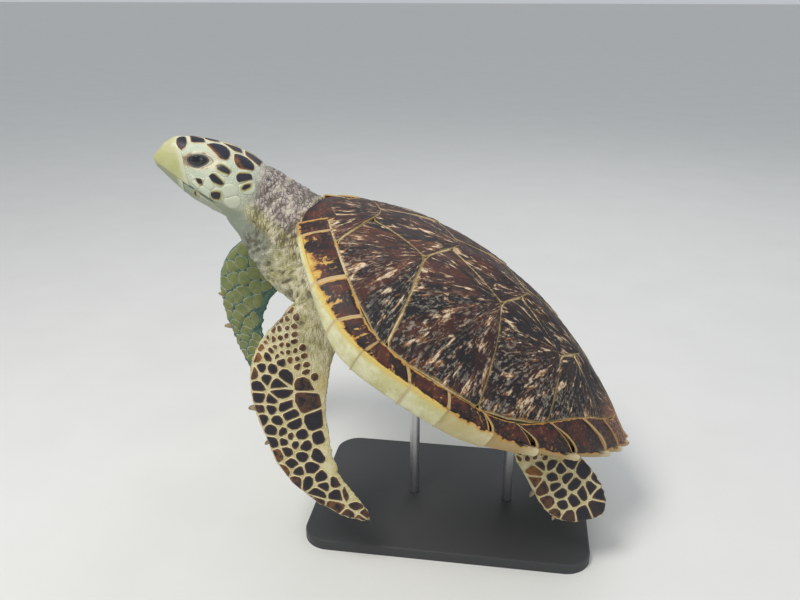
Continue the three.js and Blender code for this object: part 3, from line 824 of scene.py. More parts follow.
# ---------------------------------------------------------------- the head's own frame

HEAD_LENGTH = 157.0
HUNG = Matrix.Translation((8.4, 0.6, 15.2)) @ Euler(
    (math.radians(-12.47), math.radians(-0.31), math.radians(-2.86))
).to_matrix().to_4x4()
HEAD = HUNG @ Matrix.Translation((376, 5, -7.5)) @ Euler(
    (math.radians(22), math.radians(5), math.radians(20)), "XYZ"
).to_matrix().to_4x4()
HEAD_BACK = HEAD.inverted()
EYE_RADIUS = 15.5
EYE = Vector((0.6 * HEAD_LENGTH, 21, 10))
EYE_LEAN = math.radians(21)
LID_LONG, LID_HIGH = 15.5, 6.8
MOUTH = ((0.30, -41), (0.4, -37.5), (0.6, -31), (0.8, -24.5), (0.97, -18))
EYES = ("eye_left", "eye_right")
BEAKS = ("upper_beak", "lower_beak")
FLESH = (
    "trunk", "neck", "head", "lower_jaw", "front_arm_left", "front_arm_right", "front_blade_left",
    "front_blade_right", "rear_flipper_left", "rear_flipper_right", "tail",
)


def eye_place(local):
    """How far a point of the head lies from the near eye's opening, along it and across it."""
    side = 1 if local.y > 0 else -1
    off = Vector((local.x - EYE.x, local.z - EYE.z))
    along = off.x * math.cos(EYE_LEAN) - off.y * math.sin(EYE_LEAN)
    across = off.x * math.sin(EYE_LEAN) + off.y * math.cos(EYE_LEAN)
    middle = Vector((EYE.x, EYE.y * side, EYE.z))
    return middle, along, across


def lid_share(along, across):
    """1 on the almond edge of the opening, less inside it, more outside."""
    high = LID_HIGH * (1.0 if across > 0 else 0.9)
    long = LID_LONG * (1.15 if along < 0 else 0.95)
    return ((abs(along) / long) ** 1.6 + (abs(across) / high) ** 1.6) ** (1 / 1.6)


def out_of_sight(edge):
    """Deep under the shell, where a few large faces do."""
    return all(abs(v.co.x + 10) < 180 and abs(v.co.y) < 115 for v in edge.verts)


skin = remeshed([*FLESH, *EYES, *BEAKS], 3.1, 0.3)
relax(skin, 2, 0.5)
hidden = [e for e in skin.edges if out_of_sight(e)]
bmesh.ops.dissolve_limit(
    skin, angle_limit=math.radians(6), verts=list({v for e in hidden for v in e.verts}), edges=hidden
)
bmesh.ops.triangulate(skin, faces=[f for f in skin.faces if len(f.verts) > 4])


def finer(bm, wanted):
    edges = [e for e in bm.edges if all(wanted(v.co) for v in e.verts)]
    bmesh.ops.subdivide_edges(bm, edges=edges, cuts=1, use_grid_fill=True, smooth=0)


def on_face(co):
    local = HEAD_BACK @ co
    return local.x > 20


def by_eye(co):
    local = HEAD_BACK @ co
    middle, along, across = eye_place(local)
    return Vector((along, across)).length < 25 and abs(local.y) > 12


finer(skin, on_face)
relax(skin, 1, 0.5)
finer(skin, by_eye)
relax(skin, 1, 0.5)
skin.normal_update()


def ridge(p, scale):
    """Folds that run across the direction in which scale is largest."""
    q = Vector((p.x * scale[0], p.y * scale[1], p.z * scale[2]))
    q += noise.noise_vector(q * 0.35) * 0.8
    return 1 - min(1.0, abs(noise.noise(q)) * 2.6)


def neck_share(co):
    """0 in the trunk, 1 at the head, along the neck."""
    return smooth(co.x, 235, 372)


def fold_depth(co, local):
    bare = smooth(local.x, 12, -14)
    throat = smooth(local.z, -36, -52) * smooth(local.x, 108, 60)
    along = Vector((co.x * 0.94 + co.z * 0.34, co.y, co.z * 0.94 - co.x * 0.34))
    depth = 0.0
    body = smooth(co.x, 200, 232) * smooth(abs(co.y), 175, 140)
    if bare * body > 0:
        depth += bare * body * (
            2.4 * ridge(along, (1 / 10, 1 / 46, 1 / 46)) + 1.3 * ridge(along, (1 / 5, 1 / 20, 1 / 20)) - 1.7
        )
    if throat > 0:
        depth += throat * (0.9 * ridge(along, (1 / 26, 1 / 7, 1 / 26)) - 0.45)
    return depth


layers = {
    name: skin.verts.layers.float.new(name)
    for name in ("lid", "mouth", "face", "neck", "top", "paddle", "inner", "fold")
}
moves = []
for v in skin.verts:
    co = v.co
    local = HEAD_BACK @ co
    moved = co + v.normal * fold_depth(co, local)
    # The fold depth is kept as a mark: the skin finish paints shade in the sunk grooves and a highlight on the raised
    # ridges.
    v[layers["fold"]] = fold_depth(co, local)
    v[layers["face"]] = smooth(local.x, -8, 26)
    v[layers["neck"]] = neck_share(co)
    v[layers["top"]] = smooth(co.z, -45, 25)
    v[layers["lid"]] = 4.0
    v[layers["mouth"]] = 4.0
    if local.x > 8:
        middle, along, across = eye_place(local)
        share = lid_share(along, across)
        lateral = abs(local.y) > 12
        if share < 3.0 and lateral:
            v[layers["lid"]] = share
            way = (local - middle).normalized()
            free = (HEAD_BACK @ moved - middle).length
            pleat = 0.55 * math.sin((share - 1.1) * 21) * smooth(share, 1.12, 1.25) * smooth(share, 2.1, 1.5)
            raised = EYE_RADIUS + 2.0 + pleat
            sunk = EYE_RADIUS - 1.6
            if share < 1.13:
                radius = sunk + (raised - sunk) * smooth(share, 0.97, 1.1)
            else:
                radius = raised + (free - raised) * smooth(share, 1.2, 2.2)
            moved = HEAD @ (middle + way * radius)
        mouth = between(MOUTH, local.x / HEAD_LENGTH)[0]
        gap = local.z - mouth
        start = smooth(local.x / HEAD_LENGTH, 0.30, 0.38)
        # mouth: how far a point lies from the mouth line; the skin finish paints shade along the crease sunk there.
        v[layers["mouth"]] = abs(gap) / 4 + 1 - start
        if abs(gap) < 4.5 and start > 0:
            crease = math.exp(-((gap / 1.5) ** 2)) * 2.0 * start
            lip = math.exp(-(((gap - 3) / 1.8) ** 2)) * 0.5 * start
            moved = moved + v.normal * (lip - crease)
    moves.append((v, moved))
for v, moved in moves:
    v.co = moved
relax(skin, 1, 0.25)
skin.normal_update()
skin_tree = BVHTree.FromBMesh(skin)


# ---------------------------------------------------------------- flippers


class Paddle:
    """One flipper's own flat: forward, down its length, and outward from the body."""

    def __init__(self, x, y, z, out, stations, hung=HUNG):
        side = 1 if y > 0 else -1
        lean = math.radians(out)
        turn = hung.to_3x3()
        self.side = side
        self.middle = hung @ Vector((x, y, z))
        self.forward = turn @ Vector((1, 0, 0))
        self.down = turn @ Vector((0, side * math.sin(lean), -math.cos(lean)))
        self.out = self.forward.cross(self.down) * side
        self.stations = stations

    def flat(self, share, across):
        row = between(self.stations, share)
        return Vector((row[0], row[1])).lerp(Vector((row[2], row[3])), across)

    def place(self, flat, off=0.0):
        return self.middle + self.forward * flat.x + self.down * flat.y + self.out * off

    def flat_of(self, co):
        off = co - self.middle
        return Vector((off.dot(self.forward), off.dot(self.down))), off.dot(self.out)


LEFT_FRONT = Paddle(215, 150, -50, 30, (
    (0, 0, -62, -70, -42, 52, -30), (0.12, 14, -10, -74, 8, 46, -12), (0.24, 20, 40, -90, 48, 36, 0),
    (0.34, 20, 78, -106, 74, 29, 2), (0.44, 4, 112, -118, 92, 24, 3), (0.54, -24, 143, -138, 112, 20, 3),
    (0.64, -62, 170, -158, 134, 16, 1), (0.74, -108, 200, -190, 156, 13, -3),
    (0.84, -168, 211, -224, 168, 10, -8), (0.93, -224, 209, -250, 176, 8, -13),
    (1, -262, 201, -270, 188, 5, -18),
))
RIGHT_FRONT = Paddle(235, -110, -75, -20, (
    (0, 20, -40, -50, -20, 52, -20), (0.12, 78, 24, -30, 40, 44, -8), (0.22, 122, 72, 8, 96, 36, 0),
    (0.32, 147, 116, 36, 136, 29, 0), (0.42, 151, 154, 44, 172, 24, 0), (0.52, 144, 188, 38, 204, 20, 0),
    (0.62, 118, 224, 22, 232, 16, 0), (0.72, 84, 254, 2, 256, 13, 0), (0.82, 42, 284, -20, 280, 10, 0),
    (0.92, -4, 312, -34, 304, 8, 0), (1, -34, 332, -42, 324, 5, 0),
))
REAR_STATIONS = (
    (0, 74, -34, 30, -74, 40, -22), (0.2, 66, 8, 2, -54, 30, -6), (0.4, 32, 28, -20, -44, 21, 0),
    (0.6, -2, 46, -48, -38, 15, 1), (0.8, -44, 56, -76, -26, 10, 0), (0.93, -78, 38, -96, -8, 7, -2),
    (1, -100, 20, -104, 4, 4, -3),
)
LEFT_REAR = Paddle(-215, 120, -40, 40, REAR_STATIONS)
RIGHT_REAR = Paddle(-215, -120, -40, 48, REAR_STATIONS, Matrix())
PADDLES = (LEFT_FRONT, RIGHT_FRONT, LEFT_REAR, RIGHT_REAR)

# Middles of the flippers' scales, as shares of the length and of the width from the leading edge, each
# with how brown it is.
FRONT_SCALES = (
    (0.26, 0.05, 0.2), (0.3, 0.05, 0.9), (0.31, 0.19, 0.1), (0.34, 0.08, 0.8), (0.28, 0.28, 0.2),
    (0.28, 0.2, 0.1), (0.29, 0.35, 0), (0.345, 0.28, 0), (0.365, 0.17, 0), (0.405, 0.08, 0.3),
    (0.395, 0.24, 0), (0.335, 0.44, 0), (0.395, 0.37, 0), (0.445, 0.14, 0), (0.305, 0.7, 0.3),
    (0.49, 0.13, 0), (0.435, 0.39, 0), (0.475, 0.31, 0), (0.485, 0.44, 0), (0.51, 0.28, 0),
    (0.535, 0.11, 0.2), (0.41, 0.74, 0.3), (0.515, 0.48, 0), (0.55, 0.33, 0), (0.565, 0.1, 0.1),
    (0.55, 0.51, 0), (0.5, 0.81, 0), (0.6, 0.2, 0), (0.595, 0.35, 0), (0.605, 0.43, 0),
    (0.59, 0.57, 0), (0.57, 0.85, 0), (0.645, 0.13, 0), (0.63, 0.32, 0), (0.63, 0.47, 0),
    (0.63, 0.59, 0), (0.615, 0.93, 0), (0.685, 0.13, 0.6), (0.665, 0.3, 0), (0.67, 0.5, 0),
    (0.655, 0.75, 0), (0.695, 0.92, 0.5), (0.705, 0.29, 0), (0.71, 0.56, 0), (0.735, 0.1, 0.6),
    (0.73, 0.33, 0), (0.745, 0.63, 0), (0.76, 0.82, 0.1), (0.765, 0.18, 0.7), (0.765, 0.36, 0),
    (0.78, 0.56, 0), (0.81, 0.87, 0.1), (0.82, 0.63, 0), (0.81, 0.35, 0), (0.85, 0.06, 0.2),
    (0.875, 0.3, 0.6), (0.84, 0.99, 0.2), (0.88, 0.85, 0.2), (0.94, 0.77, 0.4), (0.955, 0.42, 0.4),
    (0.93, 0.2, 0.3),
)
REAR_SCALES = (
    (0.395, 0.19, 0.9), (0.47, 0.11, 0.8), (0.305, 0.44, 0.2), (0.355, 0.32, 0.1), (0.54, 0.18, 0.3),
    (0.505, 0.39, 0), (0.565, 0.35, 0), (0.645, 0.35, 0), (0.66, 0.13, 0.4), (0.55, 0.56, 0),
    (0.465, 0.57, 0), (0.635, 0.59, 0), (0.735, 0.62, 0), (0.725, 0.27, 0), (0.74, 0.46, 0),
    (0.565, 0.84, 0), (0.745, 0.79, 0), (0.71, 0.96, 0), (0.82, 0.83, 0), (0.88, 0.66, 0.1),
    (0.865, 0.38, 0), (0.82, 0.19, 0.2), (0.75, 0.11, 0.5), (0.435, 0.74, 0), (0.375, 0.47, 0),
)


def small_scales(start, end, row):
    """Rows of small scales between two shares of a flipper, in brick order."""
    seeds = []
    rows = max(1, round((end - start) / row))
    for i in range(rows):
        share = start + row * (i + 0.5)
        for k in range(8):
            across = (k + 0.5 + 0.5 * (i % 2)) / 8
            jog = noise.noise_vector(Vector((i * 3.7, k * 2.3, 5)))
            if across < 0.97:
                seeds.append((share + jog.x * row * 0.35, across + jog.y * 0.035, 0.35))
    return seeds


def cover(paddle, scales, face, size, spacing, small=10**6, gap=0.3):
    """Scales over one face of a flipper. face is 1 for the outer side and -1 for the inner. Scales from
    number small on are kept small."""
    coat = Coat()
    seeds = [(paddle.flat(s, a), s, brown) for s, a, brown in scales]
    for i, (seed, share, brown) in enumerate(seeds):

        others = sorted(((s - seed).length, k) for k, (s, _, _) in enumerate(seeds) if k != i)
        cuts = []
        for distance, k in others[:14]:
            if distance > 1:
                out = (seeds[k][0] - seed).normalized()
                cuts.append(((seed + seeds[k][0]) / 2, out))
        if i >= small:
            for turn in range(8):
                out = Vector((math.cos(turn * math.pi / 4 + i), math.sin(turn * math.pi / 4 + i)))
                cuts.append((seed + out * 8.5, out))
        for border in (0.03, 0.97):
            for j in range(-3, 3):
                a = paddle.flat(min(0.985, max(0.0, share + j * 0.04)), border)
                b = paddle.flat(min(0.985, max(0.02, share + (j + 1) * 0.04)), border)
                if (b - a).length > 0.5:
                    cuts.append(line(a, b, seed))
        for end, way in ((max(0.05, share - 0.13), -1), (min(0.975, share + 0.13), 1)):
            a, b = paddle.flat(end, 0), paddle.flat(end, 1)
            cuts.append(line(a, b, seed))
        reach = Vector((size, size))
        bm = plate(cuts, seed - reach, seed + reach, spacing, gap)
        if not bm or len(bm.verts) < 3:
            continue
        corners = [v.co.xy for v in bm.verts if sum((p - o * gap - v.co.xy).dot(o) < 0.05 for p, o in cuts) > 1]
        corners.sort(key=lambda c: math.atan2(c.y - seed.y, c.x - seed.x))
        trims = round_off(corners, 1.7) if len(corners) > 2 else []
        cuts += trims
        for point, out in trims:
            bmesh.ops.bisect_plane(
                bm, geom=bm.verts[:] + bm.edges[:] + bm.faces[:], plane_co=(*(point - out * gap), 0),
                plane_no=(*out, 0), clear_outer=True,
            )
        ridged(bm, cuts, 1.6)
        if not bm.faces:
            continue

        def surface(flat):
            start = paddle.place(flat, 60 * face)
            at, normal, *_ = skin_tree.ray_cast(start, -paddle.out * face, 110)
            if at is None:
                at, normal, *_ = skin_tree.find_nearest(paddle.place(flat))
            return at, (normal + paddle.out * face * 0.6).normalized()

        def height(flat, inset):
            return 0.25 + 0.75 * (1 - (1 - min(1.0, inset / 2.2)) ** 2)

        marks = {
            "edge": lambda flat, inset: inset / 10,
            "tone": (i * 0.6180339) % 1,
            "brown": brown,
            "share": share,
        }
        shape_plate(bm, cuts, gap, surface, height, 1.6, marks)
        coat.add(bm)
    return coat


def zone_of(co):
    """How far out along a flipper a point of the skin lies."""
    best = 0.0
    for paddle in PADDLES:
        flat, off = paddle.flat_of(co)
        if abs(off) > 60 or co.y * paddle.side < 40:
            continue
        start, end = paddle.flat(0.16, 0.5), paddle.flat(0.34, 0.5)
        way = end - start
        best = max(best, smooth((flat - start).dot(way) / way.length_squared, 0, 1))
    return best


for v in skin.verts:
    v[layers["paddle"]] = zone_of(v.co)
    best = min(PADDLES, key=lambda paddle: (v.co - paddle.place(paddle.flat(0.5, 0.5))).length)
    v[layers["inner"]] = smooth(v.normal.dot(best.out), 0.25, -0.25)

# ---------------------------------------------------------------- finishes of the skin and scales

MINT = (0.50, 0.56, 0.42)
OLIVE = (0.34, 0.32, 0.11)


def skin_finish():
    f = Finish("turtle_skin", Roughness=0.55)
    place = f.place()
    face, neck, top = f.mark("face"), f.mark("neck"), f.mark("top")
    paddle, inner, fold = f.mark("paddle"), f.mark("inner"), f.mark("fold")
    lid, mouth = f.mark("lid"), f.mark("mouth")
    broad = f.cloud(place, 14, 4, 0.6)
    mottle = f.cloud(place, 70, 5, 0.65, 0.5)
    grains = f.cloud(place, 420, 2, 0.6)
    pebbles = f.cells(place, 330)
    creases = f.cells(f.stretch(place, (190, 120, 48), (0.2, -0.5, 0)), 1.0)
    wrinkles = f.cloud(f.stretch(place, (170, 110, 30), (0.2, -0.5, 0)), 1.0, 5, 0.62, 1.3)
    shoulder = f.mix(mottle.rise(0.35, 0.65), (0.36, 0.33, 0.15), (0.60, 0.55, 0.36))
    nape = f.mix(mottle.rise(0.38, 0.62), (0.30, 0.24, 0.23), (0.60, 0.53, 0.48))
    throat = f.mix(broad, (0.22, 0.25, 0.19), (0.36, 0.38, 0.28))
    olive = f.mix(mottle.rise(0.35, 0.65), (0.30, 0.28, 0.08), (0.55, 0.50, 0.24))
    colour = f.mix(neck.rise(0.15, 0.55), shoulder, olive)
    colour = f.mix(neck.rise(0.2, 0.6) * top.rise(0.45, 0.8), colour, nape)
    colour = f.mix(neck.rise(0.3, 0.8) * top.rise(0.26, 0.05), colour, throat)
    bare = (1 - face) * (1 - paddle)
    flecks = wrinkles.rise(0.48, 0.38) * bare
    colour = f.mix(flecks * 0.4, colour, (0.14, 0.12, 0.07))
    lines = (creases - (wrinkles - 0.4) * 0.5).rise(0.10, 0.0) * bare * top.rise(0.0, 0.25)
    colour = f.mix(lines * 0.8, colour, (0.075, 0.06, 0.04))
    net = pebbles.rise(0.13, 0.02) * bare * neck.rise(0.2, 0.7)
    colour = f.mix(net * 0.45, colour, (0.12, 0.10, 0.09))
    spots = mottle.rise(0.56, 0.66) * neck.rise(0.5, 0.8) * top.rise(0.4, 0.7) * (1 - face)
    colour = f.mix(spots * 0.8, colour, (0.05, 0.045, 0.06))
    # Painted shade in the fold grooves and painted highlight on the fold ridges: darker where the folds sink the skin,
    # paler where they raise it.
    colour = f.mix(fold.rise(-0.2, -1.6) * 0.8, colour, (0.085, 0.07, 0.04))
    colour = f.mix(fold.rise(0.2, 1.9) * 0.65, colour, (0.68, 0.62, 0.47))
    cheek = f.mix(broad.rise(0.35, 0.65), MINT, (0.62, 0.63, 0.50))
    jaw = f.mix(broad, (0.26, 0.33, 0.30), (0.38, 0.40, 0.24))
    cheek = f.mix(top.rise(0.35, 0.1), cheek, jaw)
    seams = pebbles.rise(0.05, 0.0) * 0.25
    cheek = f.mix(seams, cheek, (0.30, 0.33, 0.28))
    colour = f.mix(face, colour, cheek)
    upper = f.mix(mottle.rise(0.45, 0.6), (0.66, 0.60, 0.44), (0.34, 0.24, 0.14))
    colour = f.mix(lid.rise(2.2, 1.7) * face, colour, upper)
    # Painted shade in the lid pleats' grooves: the wave has the phase of the pleats shaped into the lids and darkens
    # where they sink.
    pleats = (lid * 21 - 23.1).wave()
    colour = f.mix(lid.rise(1.95, 1.5) * pleats.rise(-0.2, -0.9) * 0.7, colour, (0.09, 0.07, 0.05))
    colour = f.mix((lid + (mottle - 0.5) * 0.6).rise(1.62, 1.18) * 0.9, colour, (0.032, 0.034, 0.042))
    # Painted shade along the mouth crease, where the skin is sunk along the mouth line.
    colour = f.mix(mouth.rise(0.55, 0.1) * face * 0.8, colour, (0.09, 0.10, 0.07))
    outside = f.mix(mottle.rise(0.3, 0.7), (0.50, 0.41, 0.17), (0.64, 0.58, 0.36))
    inside = f.mix(mottle.rise(0.3, 0.7), (0.05, 0.12, 0.10), (0.10, 0.19, 0.13))
    limb = f.mix(inner * paddle.rise(0.45, 0.9), outside, inside)
    colour = f.mix(paddle, colour, limb)
    f.set(Base_Color=colour, Roughness=0.48 + 0.25 * mottle)
    rough = wrinkles * (1 - face) * (1 - paddle * 0.7) * 1.3 + creases.rise(0.0, 0.25) * 0.5 * (1 - face)
    f.bump(rough + pebbles.rise(0.0, 0.3) * 0.5 + grains * 0.12, 0.0012, 0.8)
    return f


def scale_finish(name, middle, deep, warm, rim, glaze):
    """Horny scales: a dark middle, browner on some, and a pale rim."""
    f = Finish(name, Roughness=0.4, Coat_Roughness=0.2)
    place = f.place()
    edge, tone, brown = f.mark("edge"), f.mark("tone"), f.mark("brown")
    mottle = f.cloud(place, 110, 4, 0.6, 0.5)
    grains = f.cloud(place, 500, 2, 0.6)
    veins = f.cells(place, 210)
    colour = f.mix(mottle.rise(0.3, 0.7), deep, middle)
    colour = f.mix((tone - 0.5) * 0.35 + 0.2, colour, middle)
    colour = f.mix(brown * (mottle - 0.1).rise(0.25, 0.5) * 0.9, colour, warm)
    border = (edge - mottle * 0.10 + 0.05).rise(0.13, 0.04)
    haze = (edge - mottle * 0.2).rise(0.24, -0.05) * 0.35
    colour = f.mix(haze, colour, warm)
    colour = f.mix(border, colour, f.mix(mottle, rim, (0.64, 0.60, 0.42)))
    f.set(Base_Color=colour, Roughness=0.42 + 0.25 * mottle)
    f.shader.inputs["Coat Weight"].default_value = glaze
    f.shader.inputs["Specular IOR Level"].default_value = 0.32
    f.bump(veins.rise(0.0, 0.12) * 0.3 + mottle * 0.5 + grains * 0.25, 0.0005, 0.7)
    return f


INK = (0.010, 0.012, 0.020)
outer_finish = scale_finish("dark_scales", (0.020, 0.018, 0.022), INK, (0.26, 0.10, 0.02), (0.62, 0.52, 0.24), 0.05)
inner_finish = scale_finish(
    "green_scales", (0.21, 0.24, 0.08), (0.13, 0.18, 0.07), (0.24, 0.20, 0.07), (0.08, 0.17, 0.13), 0.04
)

def broad_scales(start, end, row, columns):
    """Larger scales of a flipper's inner face, longest across it and largest at the leading edge."""
    seeds = []
    rows = round((end - start) / row)
    for i in range(rows):
        for k in range(columns):
            across = ((k + 0.35 + 0.5 * (i % 2)) / columns) ** 1.15
            jog = noise.noise_vector(Vector((i * 2.7, k * 3.1, 9)))
            if across < 0.96:
                seeds.append((start + row * (i + 0.5) + jog.x * row * 0.4, across + jog.y * 0.05, 0.2 + 0.3 * jog.z))
    return seeds


SMALL_FRONT = [s for s in small_scales(0.13, 0.27, 0.021) if s[1] < 0.15 + (s[0] - 0.12) * 4.6]
SMALL_REAR = small_scales(0.16, 0.29, 0.045)
BROAD_FRONT = broad_scales(0.25, 0.97, 0.05, 4)
BROAD_REAR = broad_scales(0.3, 0.95, 0.1, 4)
for name, paddle, scales, small, broad, size, node in (
    ("front_left", LEFT_FRONT, FRONT_SCALES, SMALL_FRONT, BROAD_FRONT, 40, "front_blade_left"),
    ("front_right", RIGHT_FRONT, FRONT_SCALES, SMALL_FRONT, BROAD_FRONT, 40, "front_blade_right"),
    ("rear_left", LEFT_REAR, REAR_SCALES, SMALL_REAR, BROAD_REAR, 30, "rear_flipper_left"),
    ("rear_right", RIGHT_REAR, REAR_SCALES, SMALL_REAR, BROAD_REAR, 30, "rear_flipper_right"),
):
    coat = cover(paddle, [*scales, *small], 1, size, 5, len(scales))
    piece(f"scales_{name}_outer", coat.bm, outer_finish)
    coat = cover(paddle, broad, -1, size, 5, gap=0.3)
    piece(f"scales_{name}_inner", coat.bm, inner_finish)

# ---------------------------------------------------------------- plates of the head

ARC = 0.73
HEAD_MIDDLE = -6.0


def on_head(points):
    return [Vector((s * HEAD_LENGTH, angle * ARC)) for s, angle in points]


def hull(points):
    """The points of a plate's outline that stand outermost, in order."""
    ordered = sorted(points, key=lambda p: (p.x, p.y))
    rows = []
    for run in (ordered, ordered[::-1]):
        chain = []
        for p in run:
            while len(chain) > 1 and (chain[-1] - chain[-2]).cross(p - chain[-2]) <= 0:
                chain.pop()
            chain.append(p)
        rows += chain[:-1]
    return rows


def head_surface(flat, side):
    angle = flat.y / ARC
    if side < 0:
        angle = -angle + 2 * HEAD_MIDDLE * (1 - smooth(angle, 20, 70))
    turn = math.radians(angle)
    way = (HEAD.to_3x3() @ Vector((0, math.sin(turn), math.cos(turn)))).normalized()
    start = HEAD @ Vector((flat.x, 0, -5)) + way * 90
    at, normal, *_ = skin_tree.ray_cast(start, -way, 90)
    if at is None:
        at, normal, *_ = skin_tree.find_nearest(start - way * 50)
    return at, (normal + way * 0.8).normalized()


CROWN = (
    ("prefrontal", 0.1, ((0.85, 14), (0.83, 8), (0.78, 6), (0.74, 34), (0.772, 50), (0.83, 38))),
    ("frontal", 0.0, ((0.755, -3), (0.625, 1), (0.595, 20), (0.65, 26), (0.715, 27))),
    ("brow", 0.8, ((0.585, 25), (0.515, 13), (0.42, 14), (0.35, 31), (0.355, 48), (0.4, 51), (0.46, 45), (0.55, 34))),
    ("parietal", 0.1, ((0.46, 0), (0.38, -3), (0.275, -2), (0.25, 19), (0.34, 23), (0.40, 10))),
    ("temporal", 0.8, ((0.325, 30), (0.26, 24), (0.165, 27), (0.11, 37), (0.11, 48), (0.24, 56), (0.3, 48))),
    ("nape", 0.2, ((0.24, -3), (0.155, -4), (0.05, -2), (0.07, 31), (0.155, 24), (0.225, 20))),
)
CREST = (("crest", 0.0, ((0.615, -14), (0.505, -20), (0.475, -10), (0.475, -2), (0.505, 8), (0.585, 8), (0.62, 2))),)
SPOTS = (
    ((0.37, 66), ((0.435, 64), (0.405, 59), (0.335, 62), (0.3, 66), (0.31, 71), (0.375, 71), (0.42, 69))),
    ((0.395, 88), ((0.48, 85), (0.44, 79), (0.36, 85), (0.32, 91), (0.345, 94), (0.415, 94), (0.47, 90))),
    ((0.535, 104), ((0.59, 100), (0.56, 96), (0.515, 101), (0.5, 109), (0.54, 110))),
    ((0.17, 67), ((0.25, 74), (0.23, 64), (0.095, 55), (0.075, 61), (0.15, 72), (0.225, 80))),
    ((0.115, 82), ((0.16, 87), (0.145, 79), (0.095, 74), (0.09, 79), (0.135, 89))),
    ((0.355, 115), ((0.42, 118), (0.375, 110), (0.325, 108), (0.315, 120), (0.37, 125))),
    ((0.55, 143), ((0.58, 140), (0.54, 134), (0.515, 140), (0.55, 144))),
    ((0.25, 100), None),
    ((0.20, 116), None),
    ((0.455, 104), None),
    ((0.465, 119), None),
    ((0.57, 118), None),
    ((0.62, 106), None),
    ((0.44, 146), None),
    ((0.33, 148), None),
)


def head_plate(coat, cuts, middle, size, side, lift, marks, gap):
    reach = Vector((size, size))
    bm = plate(cuts, middle - reach, middle + reach, 3.2, gap)
    if not bm:
        return
    ridged(bm, cuts, 1.2)
    shape_plate(
        bm, cuts, gap, lambda flat: head_surface(flat, side),
        lambda flat, inset: lift * (0.25 + 0.75 * (1 - (1 - min(1.0, inset / 2.0)) ** 2)), 1.8, marks,
    )
    coat.add(bm)


crown = Coat()
for rows, sides in ((CROWN, (1, -1)), (CREST, (1,))):
    for i, (name, warm, points) in enumerate(rows):
        corners = hull(on_head(points))
        cuts = hull_cuts(corners) + round_off(corners, 1.2)
        middle = sum(corners, Vector((0, 0))) / len(corners)
        marks = {
            "edge": lambda flat, inset: inset / 10,
            "tone": i / 7,
            "brown": lambda flat, inset: warm * smooth((flat.x - middle.x) / 14 + (flat.y - middle.y) / 11, 0.35, 1.3),
        }
        for side in sides:
            head_plate(crown, cuts, middle, 34, side, 1.25, marks, -0.9)
crown_finish = scale_finish("crown_plates", (0.016, 0.017, 0.030), INK, (0.42, 0.17, 0.035), (0.66, 0.55, 0.33), 0.05)
piece("head_plates", crown.bm, crown_finish)

cheeks = Coat()
eye_flat = Vector((0.6 * HEAD_LENGTH, 73 * ARC))
seeds = [Vector((s * HEAD_LENGTH, angle * ARC)) for (s, angle), _ in SPOTS]
for i, (_, points) in enumerate(SPOTS):
    seed = seeds[i]
    cuts = []
    for distance, k in sorted(((s - seed).length, k) for k, s in enumerate(seeds) if k != i)[:9]:
        same_jaw = (SPOTS[i][0][1] > 132) == (SPOTS[k][0][1] > 132)
        if same_jaw:
            cuts.append(((seed + seeds[k]) / 2, (seeds[k] - seed).normalized()))
    way = (eye_flat - seed).normalized()
    cuts.append((eye_flat - way * 20.5, way))
    for turn in range(10):
        out = Vector((math.cos(turn * math.pi / 5), math.sin(turn * math.pi / 5) * 0.8))
        cuts.append((seed + out * 12.5, out.normalized()))
    mouth_way = Vector((0.228, 1)).normalized()
    if SPOTS[i][0][1] > 132:
        cuts.append((Vector((0.355 * HEAD_LENGTH, 139 * ARC)), -mouth_way))
    else:
        cuts.append((Vector((0.355 * HEAD_LENGTH, 131 * ARC)), mouth_way))
    cuts.append((Vector((0.86 * HEAD_LENGTH, 0)), Vector((1, 0.48)).normalized()))
    spot = hull_cuts(hull(on_head(points))) if points else None
    marks = {
        "edge": lambda flat, inset: inset / 10,
        "tone": (i * 0.618) % 1,
        "jaw": float(SPOTS[i][0][1] > 132),
        "spot": lambda flat, inset: (
            max(-1.0, (sum(min(0.0, (p - flat).dot(o)) ** 2 for p, o in spot) ** 0.5) / -10
                or inset_of(spot, flat) / 10) if spot else -1.0
        ),
    }
    for side in (1, -1):
        head_plate(cheeks, cuts, seed, 20, side, 0.75, marks, 0.25)


def cheek_finish():
    f = Finish("cheek_scales", Roughness=0.45, Coat_Roughness=0.3)
    place = f.place()
    edge, tone, spot = f.mark("edge"), f.mark("tone"), f.mark("spot")
    mottle = f.cloud(place, 90, 4, 0.6, 0.5)
    grains = f.cloud(place, 420, 2, 0.6)
    wander = (mottle - 0.5) * 0.14
    colour = f.mix(tone * 0.6 + mottle * 0.4, MINT, (0.62, 0.63, 0.48))
    colour = f.mix(f.mark("jaw") * 0.85, colour, (0.32, 0.35, 0.25))
    colour = f.mix((spot + wander).rise(-0.42, -0.12) * 0.9, colour, (0.36, 0.33, 0.10))
    colour = f.mix((spot + wander).rise(-0.16, -0.02) * 0.8, colour, (0.17, 0.075, 0.03))
    colour = f.mix((spot + wander).rise(-0.05, 0.05), colour, INK)
    colour = f.mix(edge.rise(0.08, 0.02) * 0.6, colour, (0.60, 0.58, 0.46))
    f.set(Base_Color=colour, Roughness=0.4 + 0.2 * mottle)
    f.shader.inputs["Coat Weight"].default_value = 0.1
    f.bump(mottle * 0.6 + grains * 0.3, 0.0005, 0.7)
    return f


piece("cheek_scales", cheeks.bm, cheek_finish())

# ---------------------------------------------------------------- beak, eyes, claws


